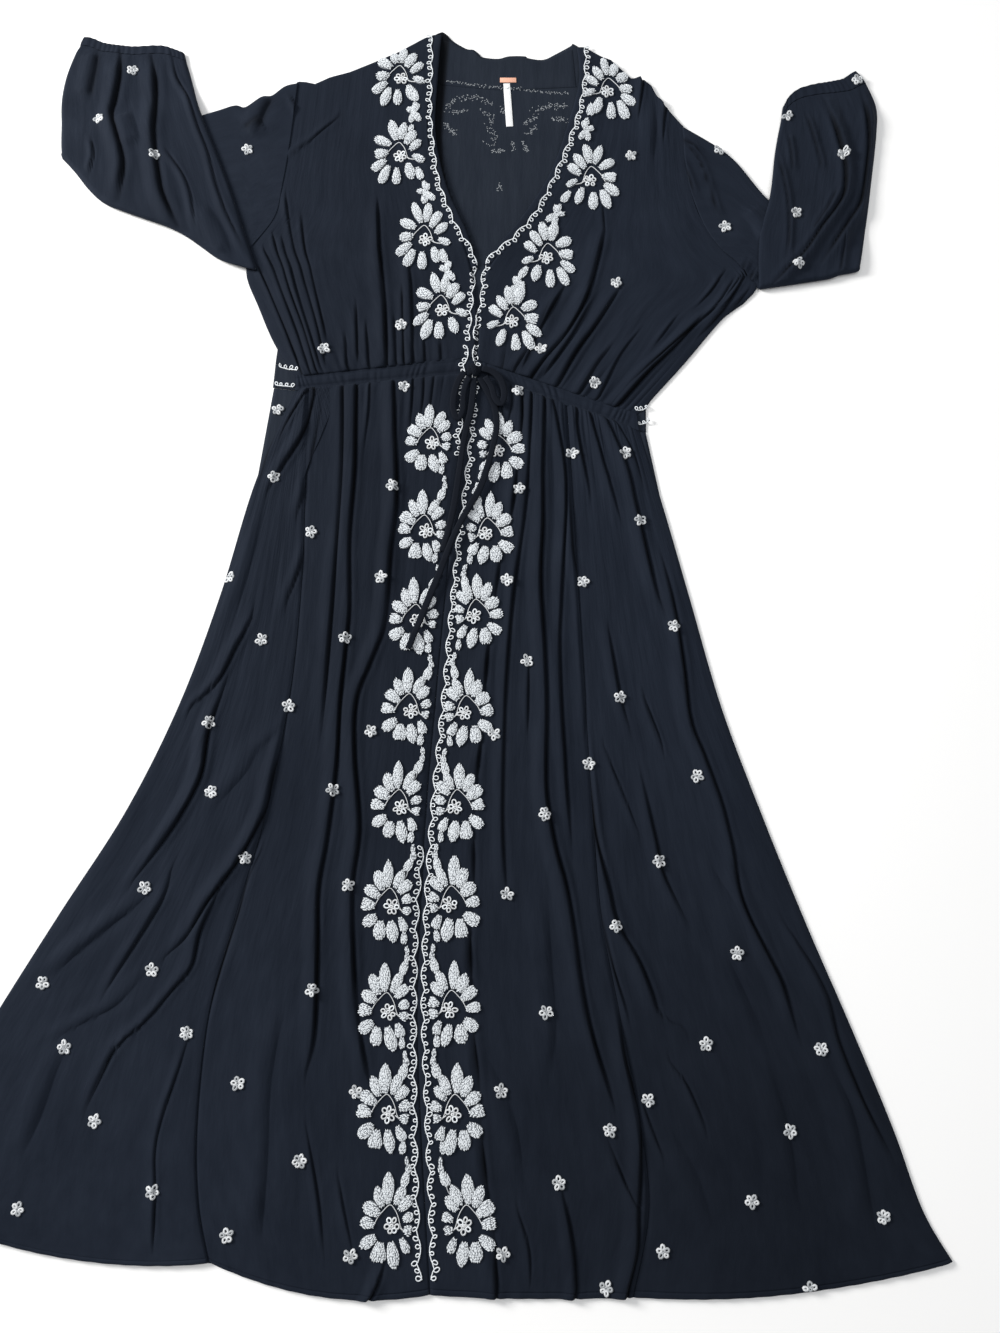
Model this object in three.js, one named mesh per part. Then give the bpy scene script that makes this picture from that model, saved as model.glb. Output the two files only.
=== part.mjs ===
// A long peasant dress laid out flat: back panels on the floor, front panels over them,
// sleeves folded at the elbow.
// X runs across the dress, Y from the hem to the neck and Z up from the floor, in millimetres.
import * as THREE from "three";

// Cloth
const WALL = 1.4;
const SEAM_GAP = 0.3;
const FRONT_BASE = WALL + SEAM_GAP;
const CASING_WALL = 2.2;
const FRONT_COLUMN_PITCH = 6.5;
const SIDE_COLUMN_PITCH = 13;
const BODICE_COLUMNS = 22;

// Sleeve tube, pressed flat and folded over at the elbow
const TUBE_HOLLOW = 0.6;
const TUBE_HEIGHT = 2 * WALL + TUBE_HOLLOW;
const FOLD_AXIS_Z = 3.9;
const FOREARM_LIFT = 2 * FOLD_AXIS_Z - TUBE_HEIGHT;
const FOREARM_SLOPE = 45;
const TUBE_COLUMNS = 10;
const CUFF_COLUMNS = 20;
const FOLD_TURNS = [0, 45, 90, 135, 180];
const TUCK_UNTIL_TURN = 60;
const BULGE_ABOVE_FOLD = 0.5;
const BULGE_REACH = 0.22;
const CUFF_BOW_FROM = 0.55;

// Raised embroidery
const FLOWER_HALF_WIDTH = 25;
const FLOWER_HALF_HEIGHT = 38;
const FLOWER_PETALS = 11;
const FLOWER_GAP = 0.45;
const PETAL_RISE = 1.5;
const PETAL_ROOT_RISE = 0.7;
const FLOWER_HEART = 0.5;
const PETAL_NOTCH = 0.74;

// Drawstring
const TIE_WIDTH = 6.5;
const TIE_THICKNESS = 2.0;
const TIE_SIDES = 8;
const KNOT_SIZE = [15, 13, 6];
const KNOT_CENTRE = [38, 231, 8.9];

// Neck label
const LABEL_WALL = 1.0;

const NAVY = 0x23262f;
const NAVY_BACK = 0x2a2f3a;
const THREAD = 0xc6ccce;
const LABEL_TAB = 0xc98a70;
const LABEL_WHITE = 0xe8e8e6;

// Skirt: one row for each section from the waist to the hem, with points at the side edges, seams and centre
const SKIRT_SECTIONS = [
  { left: [-147, 212], seamL: [-133, 213.4], centre: [38.5, 231], seamR: [134, 195.5], right: [208, 168] },
  { left: [-184, 110], seamL: [-133, 110], centre: [22, 122], seamR: [139, 95], right: [231, 82] },
  { left: [-213, -8], seamL: [-133, 2], centre: [12, 8], seamR: [143, -5], right: [254, -12] },
  { left: [-247, -118], seamL: [-140, -108], centre: [3, -106], seamR: [148, -110], right: [281, -122] },
  { left: [-291, -220], seamL: [-157, -218], centre: [-5, -214], seamR: [153, -216], right: [316, -228] },
  { left: [-346, -315], seamL: [-182, -318], centre: [-10, -318], seamR: [160, -320], right: [352, -328] },
  { left: [-397, -405], seamL: [-202, -404], centre: [-11, -410], seamR: [176, -412], right: [387, -418] },
  { left: [-440, -485], seamL: [-208, -500], centre: [-6, -505], seamR: [192, -505], right: [419, -505] },
  { left: [-467, -534], seamL: [-203, -566], centre: [-1, -575], seamR: [197, -572], right: [440, -572] },
  { left: [-480, -560], seamL: [-191, -614], centre: [4, -640], seamR: [181, -642], right: [463, -614] },
];

// How far each panel's hem drops below the straight line between its seams.
const HEM_DROP = { left: -20, frontLeft: -14, frontRight: -2, right: -11 };
const SKIRT_ROWS = [0, 0.04, 0.1, 0.19, 0.3, 0.42, 0.54, 0.66, 0.78, 0.9, 1];

// Front bodice: one row for each section from the shoulder seam to the waist, from the neck edge to the side
const BODICE_LEFT_SECTIONS = [
  { inner: [-8.5, 640], outer: [-157.5, 580] },
  { inner: [-11.8, 585], outer: [-163, 505] },
  { inner: [-13.6, 512], outer: [-169, 452] },
  { inner: [-0.5, 446], outer: [-176, 412] },
  { inner: [21.5, 391], outer: [-199, 377] },
  { inner: [34, 350], outer: [-205, 345] },
  { inner: [40, 310], outer: [-190, 306] },
  { inner: [40, 275], outer: [-172, 265] },
  { inner: [38, 247.5], outer: [-148, 226] },
];
const BODICE_RIGHT_SECTIONS = [
  { inner: [159, 624], outer: [264, 526] },
  { inner: [160.5, 577], outer: [266, 480] },
  { inner: [147.5, 523.5], outer: [270, 440] },
  { inner: [127, 461], outer: [281, 405] },
  { inner: [94.5, 405], outer: [300, 373] },
  { inner: [54, 352], outer: [330, 334] },
  { inner: [43.5, 310], outer: [300, 294] },
  { inner: [43, 275], outer: [256, 240] },
  { inner: [41, 244.5], outer: [206, 183.5] },
];
// How far each shoulder edge lies above the straight line between its ends, by share from the neck.
const SHOULDER_EDGE = {
  left: [
    { share: 0, value: 0 },
    { share: 0.07, value: 0 },
    { share: 0.256, value: -6.7 },
    { share: 0.433, value: -9 },
    { share: 0.625, value: -10.5 },
    { share: 0.772, value: -8 },
    { share: 0.882, value: -10 },
    { share: 0.95, value: -3.5 },
    { share: 1, value: 0 },
  ],
  right: [
    { share: 0, value: 0 },
    { share: 0.17, value: 5 },
    { share: 0.28, value: 11 },
    { share: 0.49, value: 8 },
    { share: 0.59, value: 18 },
    { share: 0.7, value: 20 },
    { share: 0.76, value: 11 },
    { share: 0.88, value: 5 },
    { share: 1, value: 0 },
  ],
};
const STRAIGHT_EDGE = [
  { share: 0, value: 0 },
  { share: 1, value: 0 },
];
const BODICE_ROWS = [0, 0.12, 0.25, 0.375, 0.5, 0.625, 0.73, 0.82, 0.9, 0.96, 1];

// Back panels, as outlines seen from above.
const BACK_BODICE_LEFT = [
  [-168, 262], [-179, 288], [-194, 318], [-205, 345], [-203, 362], [-199, 377], [-176, 412], [-169, 452],
  [-163, 505], [-157.5, 580], [-150, 578.5], [-140, 575.5], [-123.6, 584.5], [-101.6, 591], [-73, 604],
  [-46.6, 617], [-19, 634.5], [-3, 644],
];
const BACK_NECK = [
  [3, 643.6], [12, 633.7], [19.7, 627.9], [28.5, 622.9], [35.6, 622], [41.3, 616.8], [46.4, 612.4],
  [62.8, 610.6], [75.5, 613.9], [92.6, 613.9], [97, 611.3], [113.4, 609.5], [127.4, 616.8], [144, 627.2],
  [147.5, 629.8],
];
const BACK_BODICE_RIGHT = [
  [165, 617], [176.5, 612], [188.6, 606.5], [210, 583.5], [221.4, 584], [232, 575], [238.4, 558], [264, 526],
  [267, 461], [280, 408], [298, 375], [316, 357], [331, 334],
  [329, 316], [291, 287], [270, 260], [250, 233], [225, 206],
];
const BAND = {
  topLeft: [-169.5, 241],
  topRight: [216, 192],
  bottomRight: [215.5, 165.5],
  bottomLeft: [-171, 215],
};

// Neck: the binding strips follow the V, and the facing backs the neck edge on the inside of the back.
const BINDING_WIDTH = 7.6;
const BINDING_CLEARANCE = 0.4;
const BINDING_ROWS = 6;
const FACING_OUTLINE = [
  [1, 634], [12, 629], [19.7, 624], [28.5, 619], [35.6, 618], [41.3, 613], [46.4, 609], [62.8, 607],
  [75.5, 610], [92.6, 610], [97, 607.5], [113.4, 606], [127.4, 613], [141, 621.5], [146, 622],
  [149.5, 574], [74, 570], [-1.5, 577],
];

// A table of values at even shares, from 0 to 1.
const evenShares = (values) => values.map((value, i) => ({ share: i / (values.length - 1), value }));

// Sleeves: one row for each section, with its underarm edge and its outer edge as the folded sleeve lies.
// Rows before the fold are the upper arm, with how closely each hugs the armhole's curve, and rows after it
// are the forearm turned back on top. The fold bulges off its straight line, and the cuff bows off its own.
const SLEEVE_LEFT = {
  armhole: [[-200.2, 377.3], [-177.2, 412], [-170.2, 452], [-164.2, 505], [-158.6, 578.5]],
  foldLine: { inner: [-190, 352.5], outer: [-411, 487.5], tuckedInner: [-206.5, 362.5] },
  upperArm: [
    { inner: [-202, 376], outer: [-173, 574.5], hug: 0.88 },
    { inner: [-203, 375], outer: [-187, 562.8], hug: 0.75 },
    { inner: [-204, 374], outer: [-199, 561], hug: 0.6 },
    { inner: [-204.6, 372.5], outer: [-216, 548], hug: 0.45 },
    { inner: [-205.3, 371], outer: [-228, 550], hug: 0.3 },
    { inner: [-205.6, 369.5], outer: [-252, 541.5], hug: 0.15 },
    { inner: [-206, 366], outer: [-335, 513], hug: 0 },
  ],
  forearm: [
    { inner: [-214, 414], outer: [-416, 525] },
    { inner: [-238, 474], outer: [-418.5, 556] },
    { inner: [-265, 541], outer: [-416, 586] },
    { inner: [-280, 592], outer: [-409, 614] },
    { inner: [-284.7, 609], outer: [-404, 626] },
  ],
  cuff: [
    { inner: [-284.8, 609.4], outer: [-404, 626.4] },
    { inner: [-286, 614], outer: [-403, 631.5] },
    { inner: [-287.5, 619.5], outer: [-401, 637] },
  ],
  rest: { from: [-258, 540], to: [-413, 486] },
  foldBulge: evenShares([6, 11, 9, 7, 8.5, 13, 17.5, 20.5, 15.5, 6.5, 0]),
  cuffBow: evenShares([-3, -0.4, 1.7, 0.5, -2, -4.3, -4.8, -5, -4.2, -0.8, 0]),
};
const SLEEVE_RIGHT = {
  armhole: [[332.5, 335.5], [317.5, 358.5], [299.6, 376.5], [281.8, 408.8], [268.1, 461.6], [265, 524.5]],
  foldLine: { inner: [338, 331], outer: [447, 351], tuckedInner: [337.5, 331] },
  upperArm: [
    { inner: [334.5, 335], outer: [316, 487], hug: 0.6 },
    { inner: [335.5, 334], outer: [355, 434], hug: 0.25 },
    { inner: [336.5, 333], outer: [402, 393], hug: 0 },
  ],
  forearm: [
    { inner: [342, 386], outer: [459, 405] },
    { inner: [354, 432], outer: [468, 455] },
    { inner: [366, 490], outer: [478, 515] },
    { inner: [373, 525], outer: [480, 548] },
    { inner: [377.5, 544], outer: [471, 578] },
  ],
  cuff: [
    { inner: [377.6, 544.5], outer: [470.8, 578.5] },
    { inner: [378.5, 549.5], outer: [467, 586] },
    { inner: [380, 555], outer: [461, 594] },
  ],
  rest: { from: [355, 438], to: [447, 350] },
  foldBulge: evenShares([1.5, 1.8, 2, 2.3, 2.5, 2.7, 2.9, 2.8, 0.6, 0.5, 0]),
  cuffBow: evenShares([-5, 1.5, 4.2, 3.5, 1, -1.5, -5, -7.2, -6, -3.5, 0]),
};

// Folds. Each row is one ridge: where its crest lies across the panel at the top and bottom edges (0 at the
// inner edge, 1 at the outer), its width and height at the top, how much it widens, and where it runs.
const FOLDS = {
  frontSkirtLeft: [
    { top: 0.42, bottom: 0.36, width: 15, height: 3.2, spread: 1.5, from: 0, until: 0.4 },
    { top: 0.5, bottom: 0.45, width: 17, height: 4.4, spread: 1.6, from: 0, until: 0.75 },
    { top: 0.6, bottom: 0.57, width: 20, height: 4.0, spread: 1.3, from: 0, until: 1 },
    { top: 0.71, bottom: 0.7, width: 21, height: 5.2, spread: 1.4, from: 0, until: 0.85 },
    { top: 0.82, bottom: 0.83, width: 20, height: 4.6, spread: 1.5, from: 0, until: 1 },
    { top: 0.93, bottom: 0.94, width: 16, height: 3.6, spread: 1.4, from: 0, until: 0.6 },
  ],
  frontSkirtRight: [
    { top: 0.7, bottom: 0.42, width: 14, height: 4.0, spread: 2.0, from: 0, until: 0.7 },
    { top: 0.8, bottom: 0.55, width: 13, height: 4.6, spread: 2.2, from: 0, until: 1 },
    { top: 0.89, bottom: 0.7, width: 13, height: 4.4, spread: 2.2, from: 0, until: 0.8 },
    { top: 0.97, bottom: 0.86, width: 13, height: 3.4, spread: 2.6, from: 0, until: 1 },
  ],
  sideSkirtLeft: [
    { top: 0.3, bottom: 0.2, width: 16, height: 3.4, spread: 3.0, from: 0.12, until: 0.75 },
    { top: 0.55, bottom: 0.42, width: 18, height: 4.2, spread: 3.2, from: 0.06, until: 0.6 },
    { top: 0.75, bottom: 0.62, width: 18, height: 3.6, spread: 3.4, from: 0.1, until: 0.9 },
    { top: 0.92, bottom: 0.85, width: 14, height: 2.8, spread: 3.4, from: 0.3, until: 0.8 },
  ],
  sideSkirtRight: [
    { top: 0.14, bottom: 0.12, width: 16, height: 3.4, spread: 2.6, from: 0, until: 0.55 },
    { top: 0.35, bottom: 0.3, width: 17, height: 4.2, spread: 2.8, from: 0, until: 0.3 },
    { top: 0.55, bottom: 0.48, width: 17, height: 3.6, spread: 3.0, from: 0.02, until: 0.7 },
    { top: 0.74, bottom: 0.66, width: 17, height: 4.4, spread: 3.2, from: 0, until: 0.85 },
    { top: 0.92, bottom: 0.86, width: 13, height: 2.6, spread: 3.2, from: 0.2, until: 0.9 },
  ],
  bodiceLeft: [
    { top: 0.5, bottom: 0.46, width: 18, height: 3.0, spread: 0.8, from: 0.72, until: 1 },
    { top: 0.52, bottom: 0.56, width: 20, height: 3.4, spread: 0.8, from: 0.6, until: 1 },
    { top: 0.66, bottom: 0.66, width: 20, height: 3.6, spread: 0.8, from: 0.52, until: 1 },
    { top: 0.7, bottom: 0.76, width: 22, height: 4.4, spread: 0.75, from: 0.45, until: 1 },
    { top: 0.8, bottom: 0.86, width: 22, height: 4.6, spread: 0.7, from: 0.62, until: 1 },
    { top: 0.92, bottom: 0.95, width: 20, height: 3.4, spread: 0.7, from: 0.74, until: 1 },
  ],
  bodiceRight: [
    { top: 0.6, bottom: 0.4, width: 18, height: 3.0, spread: 0.8, from: 0.7, until: 1 },
    { top: 0.66, bottom: 0.5, width: 20, height: 3.8, spread: 0.75, from: 0.6, until: 1 },
    { top: 0.72, bottom: 0.61, width: 20, height: 4.2, spread: 0.75, from: 0.55, until: 1 },
    { top: 0.8, bottom: 0.72, width: 22, height: 4.0, spread: 0.7, from: 0.62, until: 1 },
    { top: 0.88, bottom: 0.83, width: 22, height: 4.6, spread: 0.7, from: 0.7, until: 1 },
    { top: 0.97, bottom: 0.94, width: 20, height: 3.0, spread: 0.7, from: 0.72, until: 1 },
  ],
  forearm: [
    { top: 0.2, bottom: 0.22, width: 24, height: 2.2, spread: 0.7, from: 0.1, until: 1 },
    { top: 0.45, bottom: 0.46, width: 30, height: 3.0, spread: 0.6, from: 0.05, until: 1 },
    { top: 0.7, bottom: 0.68, width: 28, height: 2.6, spread: 0.6, from: 0.15, until: 1 },
    { top: 0.9, bottom: 0.88, width: 22, height: 1.8, spread: 0.6, from: 0.2, until: 1 },
  ],
};
const CASING_GATHERS = { left: 13, right: 12 };
const CASING_GATHER_HEIGHT = 0.9;
const CUFF_GATHERS = 8;
const CUFF_GATHER_HEIGHT = 0.8;

// Large flowers: their centres down the left and right fronts.
const FLOWERS = [
  { left: [-46, 584], right: [185, 568] },
  { left: [-45, 487], right: [164, 457] },
  { left: [-16, 386], right: [116, 365] },
  { left: [3, 304], right: [79, 290] },
  { left: [-6, 154], right: [63, 146] },
  { left: [-11, 60], right: [52, 57] },
  { left: [-18, -33], right: [41, -28] },
  { left: [-23, -123], right: [32, -125] },
  { left: [-31, -216], right: [24, -216] },
  { left: [-38, -308], right: [19, -306] },
  { left: [-39, -402], right: [20, -400] },
  { left: [-37, -490], right: [24, -490] },
  { left: [-32, -582], right: [35, -582] },
];

// Drawstring routes, from the knot outwards.
const TIE_ROUTES = {
  tie_loop_left: [
    [28.5, 229, 8.6], [22, 219, 8.3], [17.5, 203, 7.8], [17, 188, 7.4], [21.5, 178, 7.2], [26.5, 187, 7.4],
    [27, 203, 7.8], [30, 217, 8.2], [33.5, 222.5, 8.6],
  ],
  tie_loop_right: [
    [46.4, 232.6, 8.9], [57, 229, 9.2], [66, 219, 9.6], [69.5, 204, 9.8], [66, 193, 9.8], [60, 199, 9.8],
    [56, 212, 9.6], [49.5, 223, 9.2],
  ],
  tie_end_short: [
    [38, 222.6, 7.4], [37, 206, 6.6], [34.5, 185, 6.4], [30, 165, 6.4], [26, 140, 6.4], [22.5, 112, 6.4],
    [18.5, 84, 6.4], [13, 58, 6.4], [7, 36, 6.4],
  ],
  tie_end_long: [
    [43.8, 223.4, 6.8], [52, 208, 6.8], [59, 192, 6.8], [61.5, 172, 7.0], [59, 152, 8.4], [53, 128, 8.4],
    [45, 103, 7.4], [34, 82, 8.2], [24.5, 64, 9.0], [15, 42, 9.0], [5, 14, 7.8], [-6, -14, 7.4],
    [-15, -38, 8.2], [-25, -64, 7.4],
  ],
};

const lerp = THREE.MathUtils.lerp;
const smooth = (from, to, value) => THREE.MathUtils.smoothstep(value, from, to);
const range = (count) => Array.from({ length: count }, (_, i) => i);
const curveThrough = (points) => new THREE.SplineCurve(points.map(([x, y]) => new THREE.Vector2(x, y)));
const column = (table, name) => table.map((row) => row[name]);

// The value at a share in a table of shares and values, straight between its rows.
function valueAt(table, share) {
  const before = table.filter((row) => row.share < share).length;
  const next = THREE.MathUtils.clamp(before, 1, table.length - 1);
  const a = table[next - 1];
  const b = table[next];
  return lerp(a.value, b.value, (share - a.share) / (b.share - a.share));
}

// The volume inside a closed triangle list, negative where its faces point inwards.
function signedVolume(points, triangles) {
  const cross = new THREE.Vector3();
  let sum = 0;
  for (const [a, b, c] of triangles) {
    sum += points[a].dot(cross.crossVectors(points[b], points[c])) / 6;
  }
  return sum;
}

// A closed geometry from points and triangles, turned so that its faces point outwards.
function solidGeometry(points, triangles) {
  const inwards = signedVolume(points, triangles) < 0;
  const index = triangles.flatMap(([a, b, c]) => (inwards ? [a, c, b] : [a, b, c]));
  const geometry = new THREE.BufferGeometry().setFromPoints(points);
  geometry.setIndex(index);
  geometry.computeVertexNormals();
  return geometry;
}

// The two triangles of a quad given by its corners in order round it.
const quad = (a, b, c, d) => [[a, b, c], [a, c, d]];

// The height of a ridge at a place across and along its panel.
function foldHeight(folds, across, along, width) {
  let height = 0;
  for (const fold of folds) {
    const crest = lerp(fold.top, fold.bottom, along);
    const halfWidth = (fold.width / 2) * lerp(1, fold.spread, along);
    const reach = (Math.abs(across - crest) * width) / halfWidth;
    if (reach >= 1) continue;
    const profile = 0.5 + 0.5 * Math.cos(Math.PI * reach);
    const rise = fold.from > 0 ? smooth(fold.from - 0.06, fold.from + 0.12, along) : 1;
    const fall = fold.until < 1 ? 1 - smooth(fold.until - 0.1, fold.until + 0.2, along) : 1;
    height = Math.max(height, fold.height * profile * rise * fall);
  }
  return height;
}

// A wall of cloth over a grid of points on its underside.
function wallOver(under, wall) {
  const rows = under.length;
  const columns = under[0].length;
  const over = under.map((row) => row.map((p) => new THREE.Vector3(p.x, p.y, p.z + wall)));
  const points = [...under.flat(), ...over.flat()];
  const above = rows * columns;
  const at = (r, c) => r * columns + c;
  const triangles = [];
  for (const r of range(rows - 1)) {
    for (const c of range(columns - 1)) {
      const corners = [at(r, c), at(r, c + 1), at(r + 1, c + 1), at(r + 1, c)];
      triangles.push(...quad(...corners.toReversed()));
      triangles.push(...quad(...corners.map((i) => i + above)));
    }
  }
  const rim = [
    ...range(columns - 1).map((c) => at(0, c)),
    ...range(rows - 1).map((r) => at(r, columns - 1)),
    ...range(columns - 1).map((c) => at(rows - 1, columns - 1 - c)),
    ...range(rows - 1).map((r) => at(rows - 1 - r, 0)),
  ];
  rim.forEach((a, i) => {
    const b = rim[(i + 1) % rim.length];
    triangles.push(...quad(a, b, b + above, a + above));
  });
  return solidGeometry(points, triangles);
}

// A panel of cloth between an inner and an outer edge, raised in its folds.
function clothPanel(plan) {
  const { inner, outer, rows, columns, height } = plan;
  const { wall = WALL, topEdge = STRAIGHT_EDGE, hemBow = 0 } = plan;
  const innerEdge = curveThrough(inner);
  const outerEdge = curveThrough(outer);
  const under = rows.map((along) => {
    const a = innerEdge.getPoint(along);
    const b = outerEdge.getPoint(along);
    const width = a.distanceTo(b);
    const inset = SEAM_GAP / 1.5 / width;
    const topShare = 1 - smooth(0, 0.25, along);
    const bow = hemBow * smooth(0.72, 1, along);
    return range(columns + 1).map((i) => {
      const across = lerp(inset, 1 - inset, i / columns);
      const drop = bow * 4 * across * (1 - across) + valueAt(topEdge, across) * topShare;
      const z = FRONT_BASE + height(across, along, width);
      return new THREE.Vector3(lerp(a.x, b.x, across), lerp(a.y, b.y, across) + drop, z);
    });
  });
  return wallOver(under, wall);
}

// A flat panel cut to an outline.
function flatPanel(outline, base, wall = WALL) {
  const shape = new THREE.Shape(outline.map(([x, y]) => new THREE.Vector2(x, y)));
  const geometry = new THREE.ExtrudeGeometry(shape, { depth: wall, bevelEnabled: false });
  return geometry.translate(0, 0, base);
}

// A flat strip that borders the neck edge of a bodice panel, on the side of the opening.
function neckBinding(sections, side) {
  const edge = curveThrough(column(sections, "inner"));
  const reaches = [BINDING_CLEARANCE, BINDING_CLEARANCE + BINDING_WIDTH];
  const under = BODICE_ROWS.slice(0, BINDING_ROWS).map((along) => {
    const p = edge.getPoint(along);
    const way = edge.getTangent(along);
    const across = { x: -way.y * side, y: way.x * side };
    const place = (reach) => new THREE.Vector3(p.x + across.x * reach, p.y + across.y * reach, FRONT_BASE);
    return reaches.map(place);
  });
  return wallOver(under, WALL);
}

// A tube through rings of outer and inner points, open at both ends.
function openTube(outerRings, innerRings) {
  const rings = outerRings.length;
  const around = outerRings[0].length;
  const points = [...outerRings.flat(), ...innerRings.flat()];
  const inside = rings * around;
  const at = (k, j) => k * around + (j % around);
  const triangles = [];
  for (const j of range(around)) {
    for (const k of range(rings - 1)) {
      const corners = [at(k, j), at(k, j + 1), at(k + 1, j + 1), at(k + 1, j)];
      triangles.push(...quad(...corners));
      triangles.push(...quad(...corners.toReversed().map((i) => i + inside)));
    }
    triangles.push(...quad(at(0, j + 1), at(0, j), at(0, j) + inside, at(0, j + 1) + inside));
    const last = rings - 1;
    triangles.push(...quad(at(last, j), at(last, j + 1), at(last, j + 1) + inside, at(last, j) + inside));
  }
  return solidGeometry(points, triangles);
}

// How far the turned forearm has come down to the floor, past the edge of the upper arm under it.
function forearmDrop(rest, x, y) {
  const [fromX, fromY] = rest.from;
  const [toX, toY] = rest.to;
  const line = new THREE.Vector2(toX - fromX, toY - fromY).normalize();
  const beyond = Math.abs(line.x * (y - fromY) - line.y * (x - fromX));
  const outside = (line.x * (y - fromY) - line.y * (x - fromX)) * Math.sign(fromX) > 0;
  return outside ? FOREARM_LIFT * smooth(4, FOREARM_SLOPE, beyond) : 0;
}

// One ring of a flattened sleeve: down one layer from the inner to the outer edge, and back along the other.
function sleeveRing(sleeve, row, columns, inset) {
  const fold = sleeve.foldLine;
  const foldWay = new THREE.Vector2(fold.outer[0] - fold.inner[0], fold.outer[1] - fold.inner[1]).normalize();
  const side = Math.sign(fold.inner[0]);
  const away = new THREE.Vector2(-foldWay.y, foldWay.x).multiplyScalar(side);
  const cuffEnd = sleeve.cuff[sleeve.cuff.length - 1];
  const cuffRun = new THREE.Vector2(cuffEnd.outer[0] - cuffEnd.inner[0], cuffEnd.outer[1] - cuffEnd.inner[1]);
  const endWay = new THREE.Vector2(-cuffRun.y, cuffRun.x).normalize().multiplyScalar(side);
  const turn = THREE.MathUtils.degToRad(row.turn);
  const width = Math.hypot(row.outer[0] - row.inner[0], row.outer[1] - row.inner[1]);
  const edge = inset / width;
  const layer = (low, acrossList) =>
    acrossList.map((share) => {
      const across = lerp(edge, 1 - edge, share);
      const bow = row.bow ? row.bow(across) : { x: 0, y: 0 };
      const swell = -(row.bulge ?? 0) * valueAt(sleeve.foldBulge, across);
      const end = (row.end ?? 0) * valueAt(sleeve.cuffBow, across);
      const x = lerp(row.inner[0], row.outer[0], across) + bow.x + away.x * swell + endWay.x * end;
      const y = lerp(row.inner[1], row.outer[1], across) + bow.y + away.y * swell + endWay.y * end;
      const level = low ? inset : TUBE_HEIGHT - inset;
      const arm = FOLD_AXIS_Z - level;
      const drop = row.turn === 180 ? forearmDrop(sleeve.rest, x, y) : 0;
      const rise = low && row.height ? row.height(across, width) : 0;
      const round = -arm * Math.sin(turn);
      return new THREE.Vector3(
        x + away.x * round,
        y + away.y * round,
        FOLD_AXIS_Z - arm * Math.cos(turn) - drop + rise,
      );
    });
  const shares = range(columns + 1).map((i) => i / columns);
  return [...layer(true, shares), ...layer(false, shares.toReversed())];
}

// The part of the armhole's curve that lies off the straight line between its ends.
function armholeBow(armhole, amount) {
  const curve = curveThrough(armhole);
  const first = armhole[0];
  const last = armhole[armhole.length - 1];
  return (across) => {
    const p = curve.getPoint(across);
    return {
      x: (p.x - lerp(first[0], last[0], across)) * amount,
      y: (p.y - lerp(first[1], last[1], across)) * amount,
    };
  };
}

// A sleeve from its armhole, over the fold at the elbow, to the end of the forearm.
function sleeveTube(sleeve) {
  const fold = sleeve.foldLine;
  const armEnd = sleeve.armhole[sleeve.armhole.length - 1];
  const lastAbove = sleeve.upperArm[sleeve.upperArm.length - 1];
  const upper = [{ inner: sleeve.armhole[0], outer: armEnd, hug: 1 }, ...sleeve.upperArm].map((row) => ({
    ...row,
    turn: 0,
    bow: armholeBow(sleeve.armhole, row.hug),
    bulge: row === lastAbove ? BULGE_ABOVE_FOLD : 0,
  }));
  const elbow = FOLD_TURNS.map((turn) => ({
    inner: range(2).map((axis) =>
      lerp(fold.tuckedInner[axis], fold.inner[axis], smooth(TUCK_UNTIL_TURN, 180, turn)),
    ),
    outer: fold.outer,
    turn,
    bulge: 1,
  }));
  const forearm = sleeve.forearm.map((row, i) => {
    const share = (i + 1) / sleeve.forearm.length;
    return {
      ...row,
      turn: 180,
      bulge: Math.exp(-((share / BULGE_REACH) ** 2)),
      end: smooth(CUFF_BOW_FROM, 1, share),
      height: (across, width) => foldHeight(FOLDS.forearm, across, share, width),
    };
  });
  const rows = [...upper, ...elbow, ...forearm];
  const rings = (inset) => rows.map((row) => sleeveRing(sleeve, row, TUBE_COLUMNS, inset));
  return openTube(rings(0), rings(WALL));
}

// A gathered elastic cuff at the end of a sleeve.
function cuffTube(sleeve) {
  const gather = (across) => CUFF_GATHER_HEIGHT * (0.5 - 0.5 * Math.cos(2 * Math.PI * CUFF_GATHERS * across));
  const flat = (across, width) => foldHeight(FOLDS.forearm, across, 1, width);
  const rows = sleeve.cuff.map((row, i) => ({
    ...row,
    turn: 180,
    end: 1,
    height: (across, width) => flat(across, width) * (1 - i / 3) + gather(across),
  }));
  const rings = (inset) => rows.map((row) => sleeveRing(sleeve, row, CUFF_COLUMNS, inset));
  return openTube(rings(0), rings(WALL));
}

// The top of the cloth at a place, from the upward faces of the panels there.
function clothTop(panels, x, y) {
  let top = FRONT_BASE + WALL;
  for (const geometry of panels) {
    const place = geometry.getAttribute("position");
    const index = geometry.getIndex();
    for (let i = 0; i < index.count; i += 3) {
      const corners = [0, 1, 2].map((k) => index.getX(i + k));
      const [a, b, c] = corners.map((k) => new THREE.Vector3().fromBufferAttribute(place, k));
      const area = (b.x - a.x) * (c.y - a.y) - (b.y - a.y) * (c.x - a.x);
      if (area <= 0) continue;
      const u = ((x - a.x) * (c.y - a.y) - (y - a.y) * (c.x - a.x)) / area;
      const v = ((b.x - a.x) * (y - a.y) - (b.y - a.y) * (x - a.x)) / area;
      if (u < 0 || v < 0 || u + v > 1) continue;
      top = Math.max(top, a.z + u * (b.z - a.z) + v * (c.z - a.z));
    }
  }
  return top;
}

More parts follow.
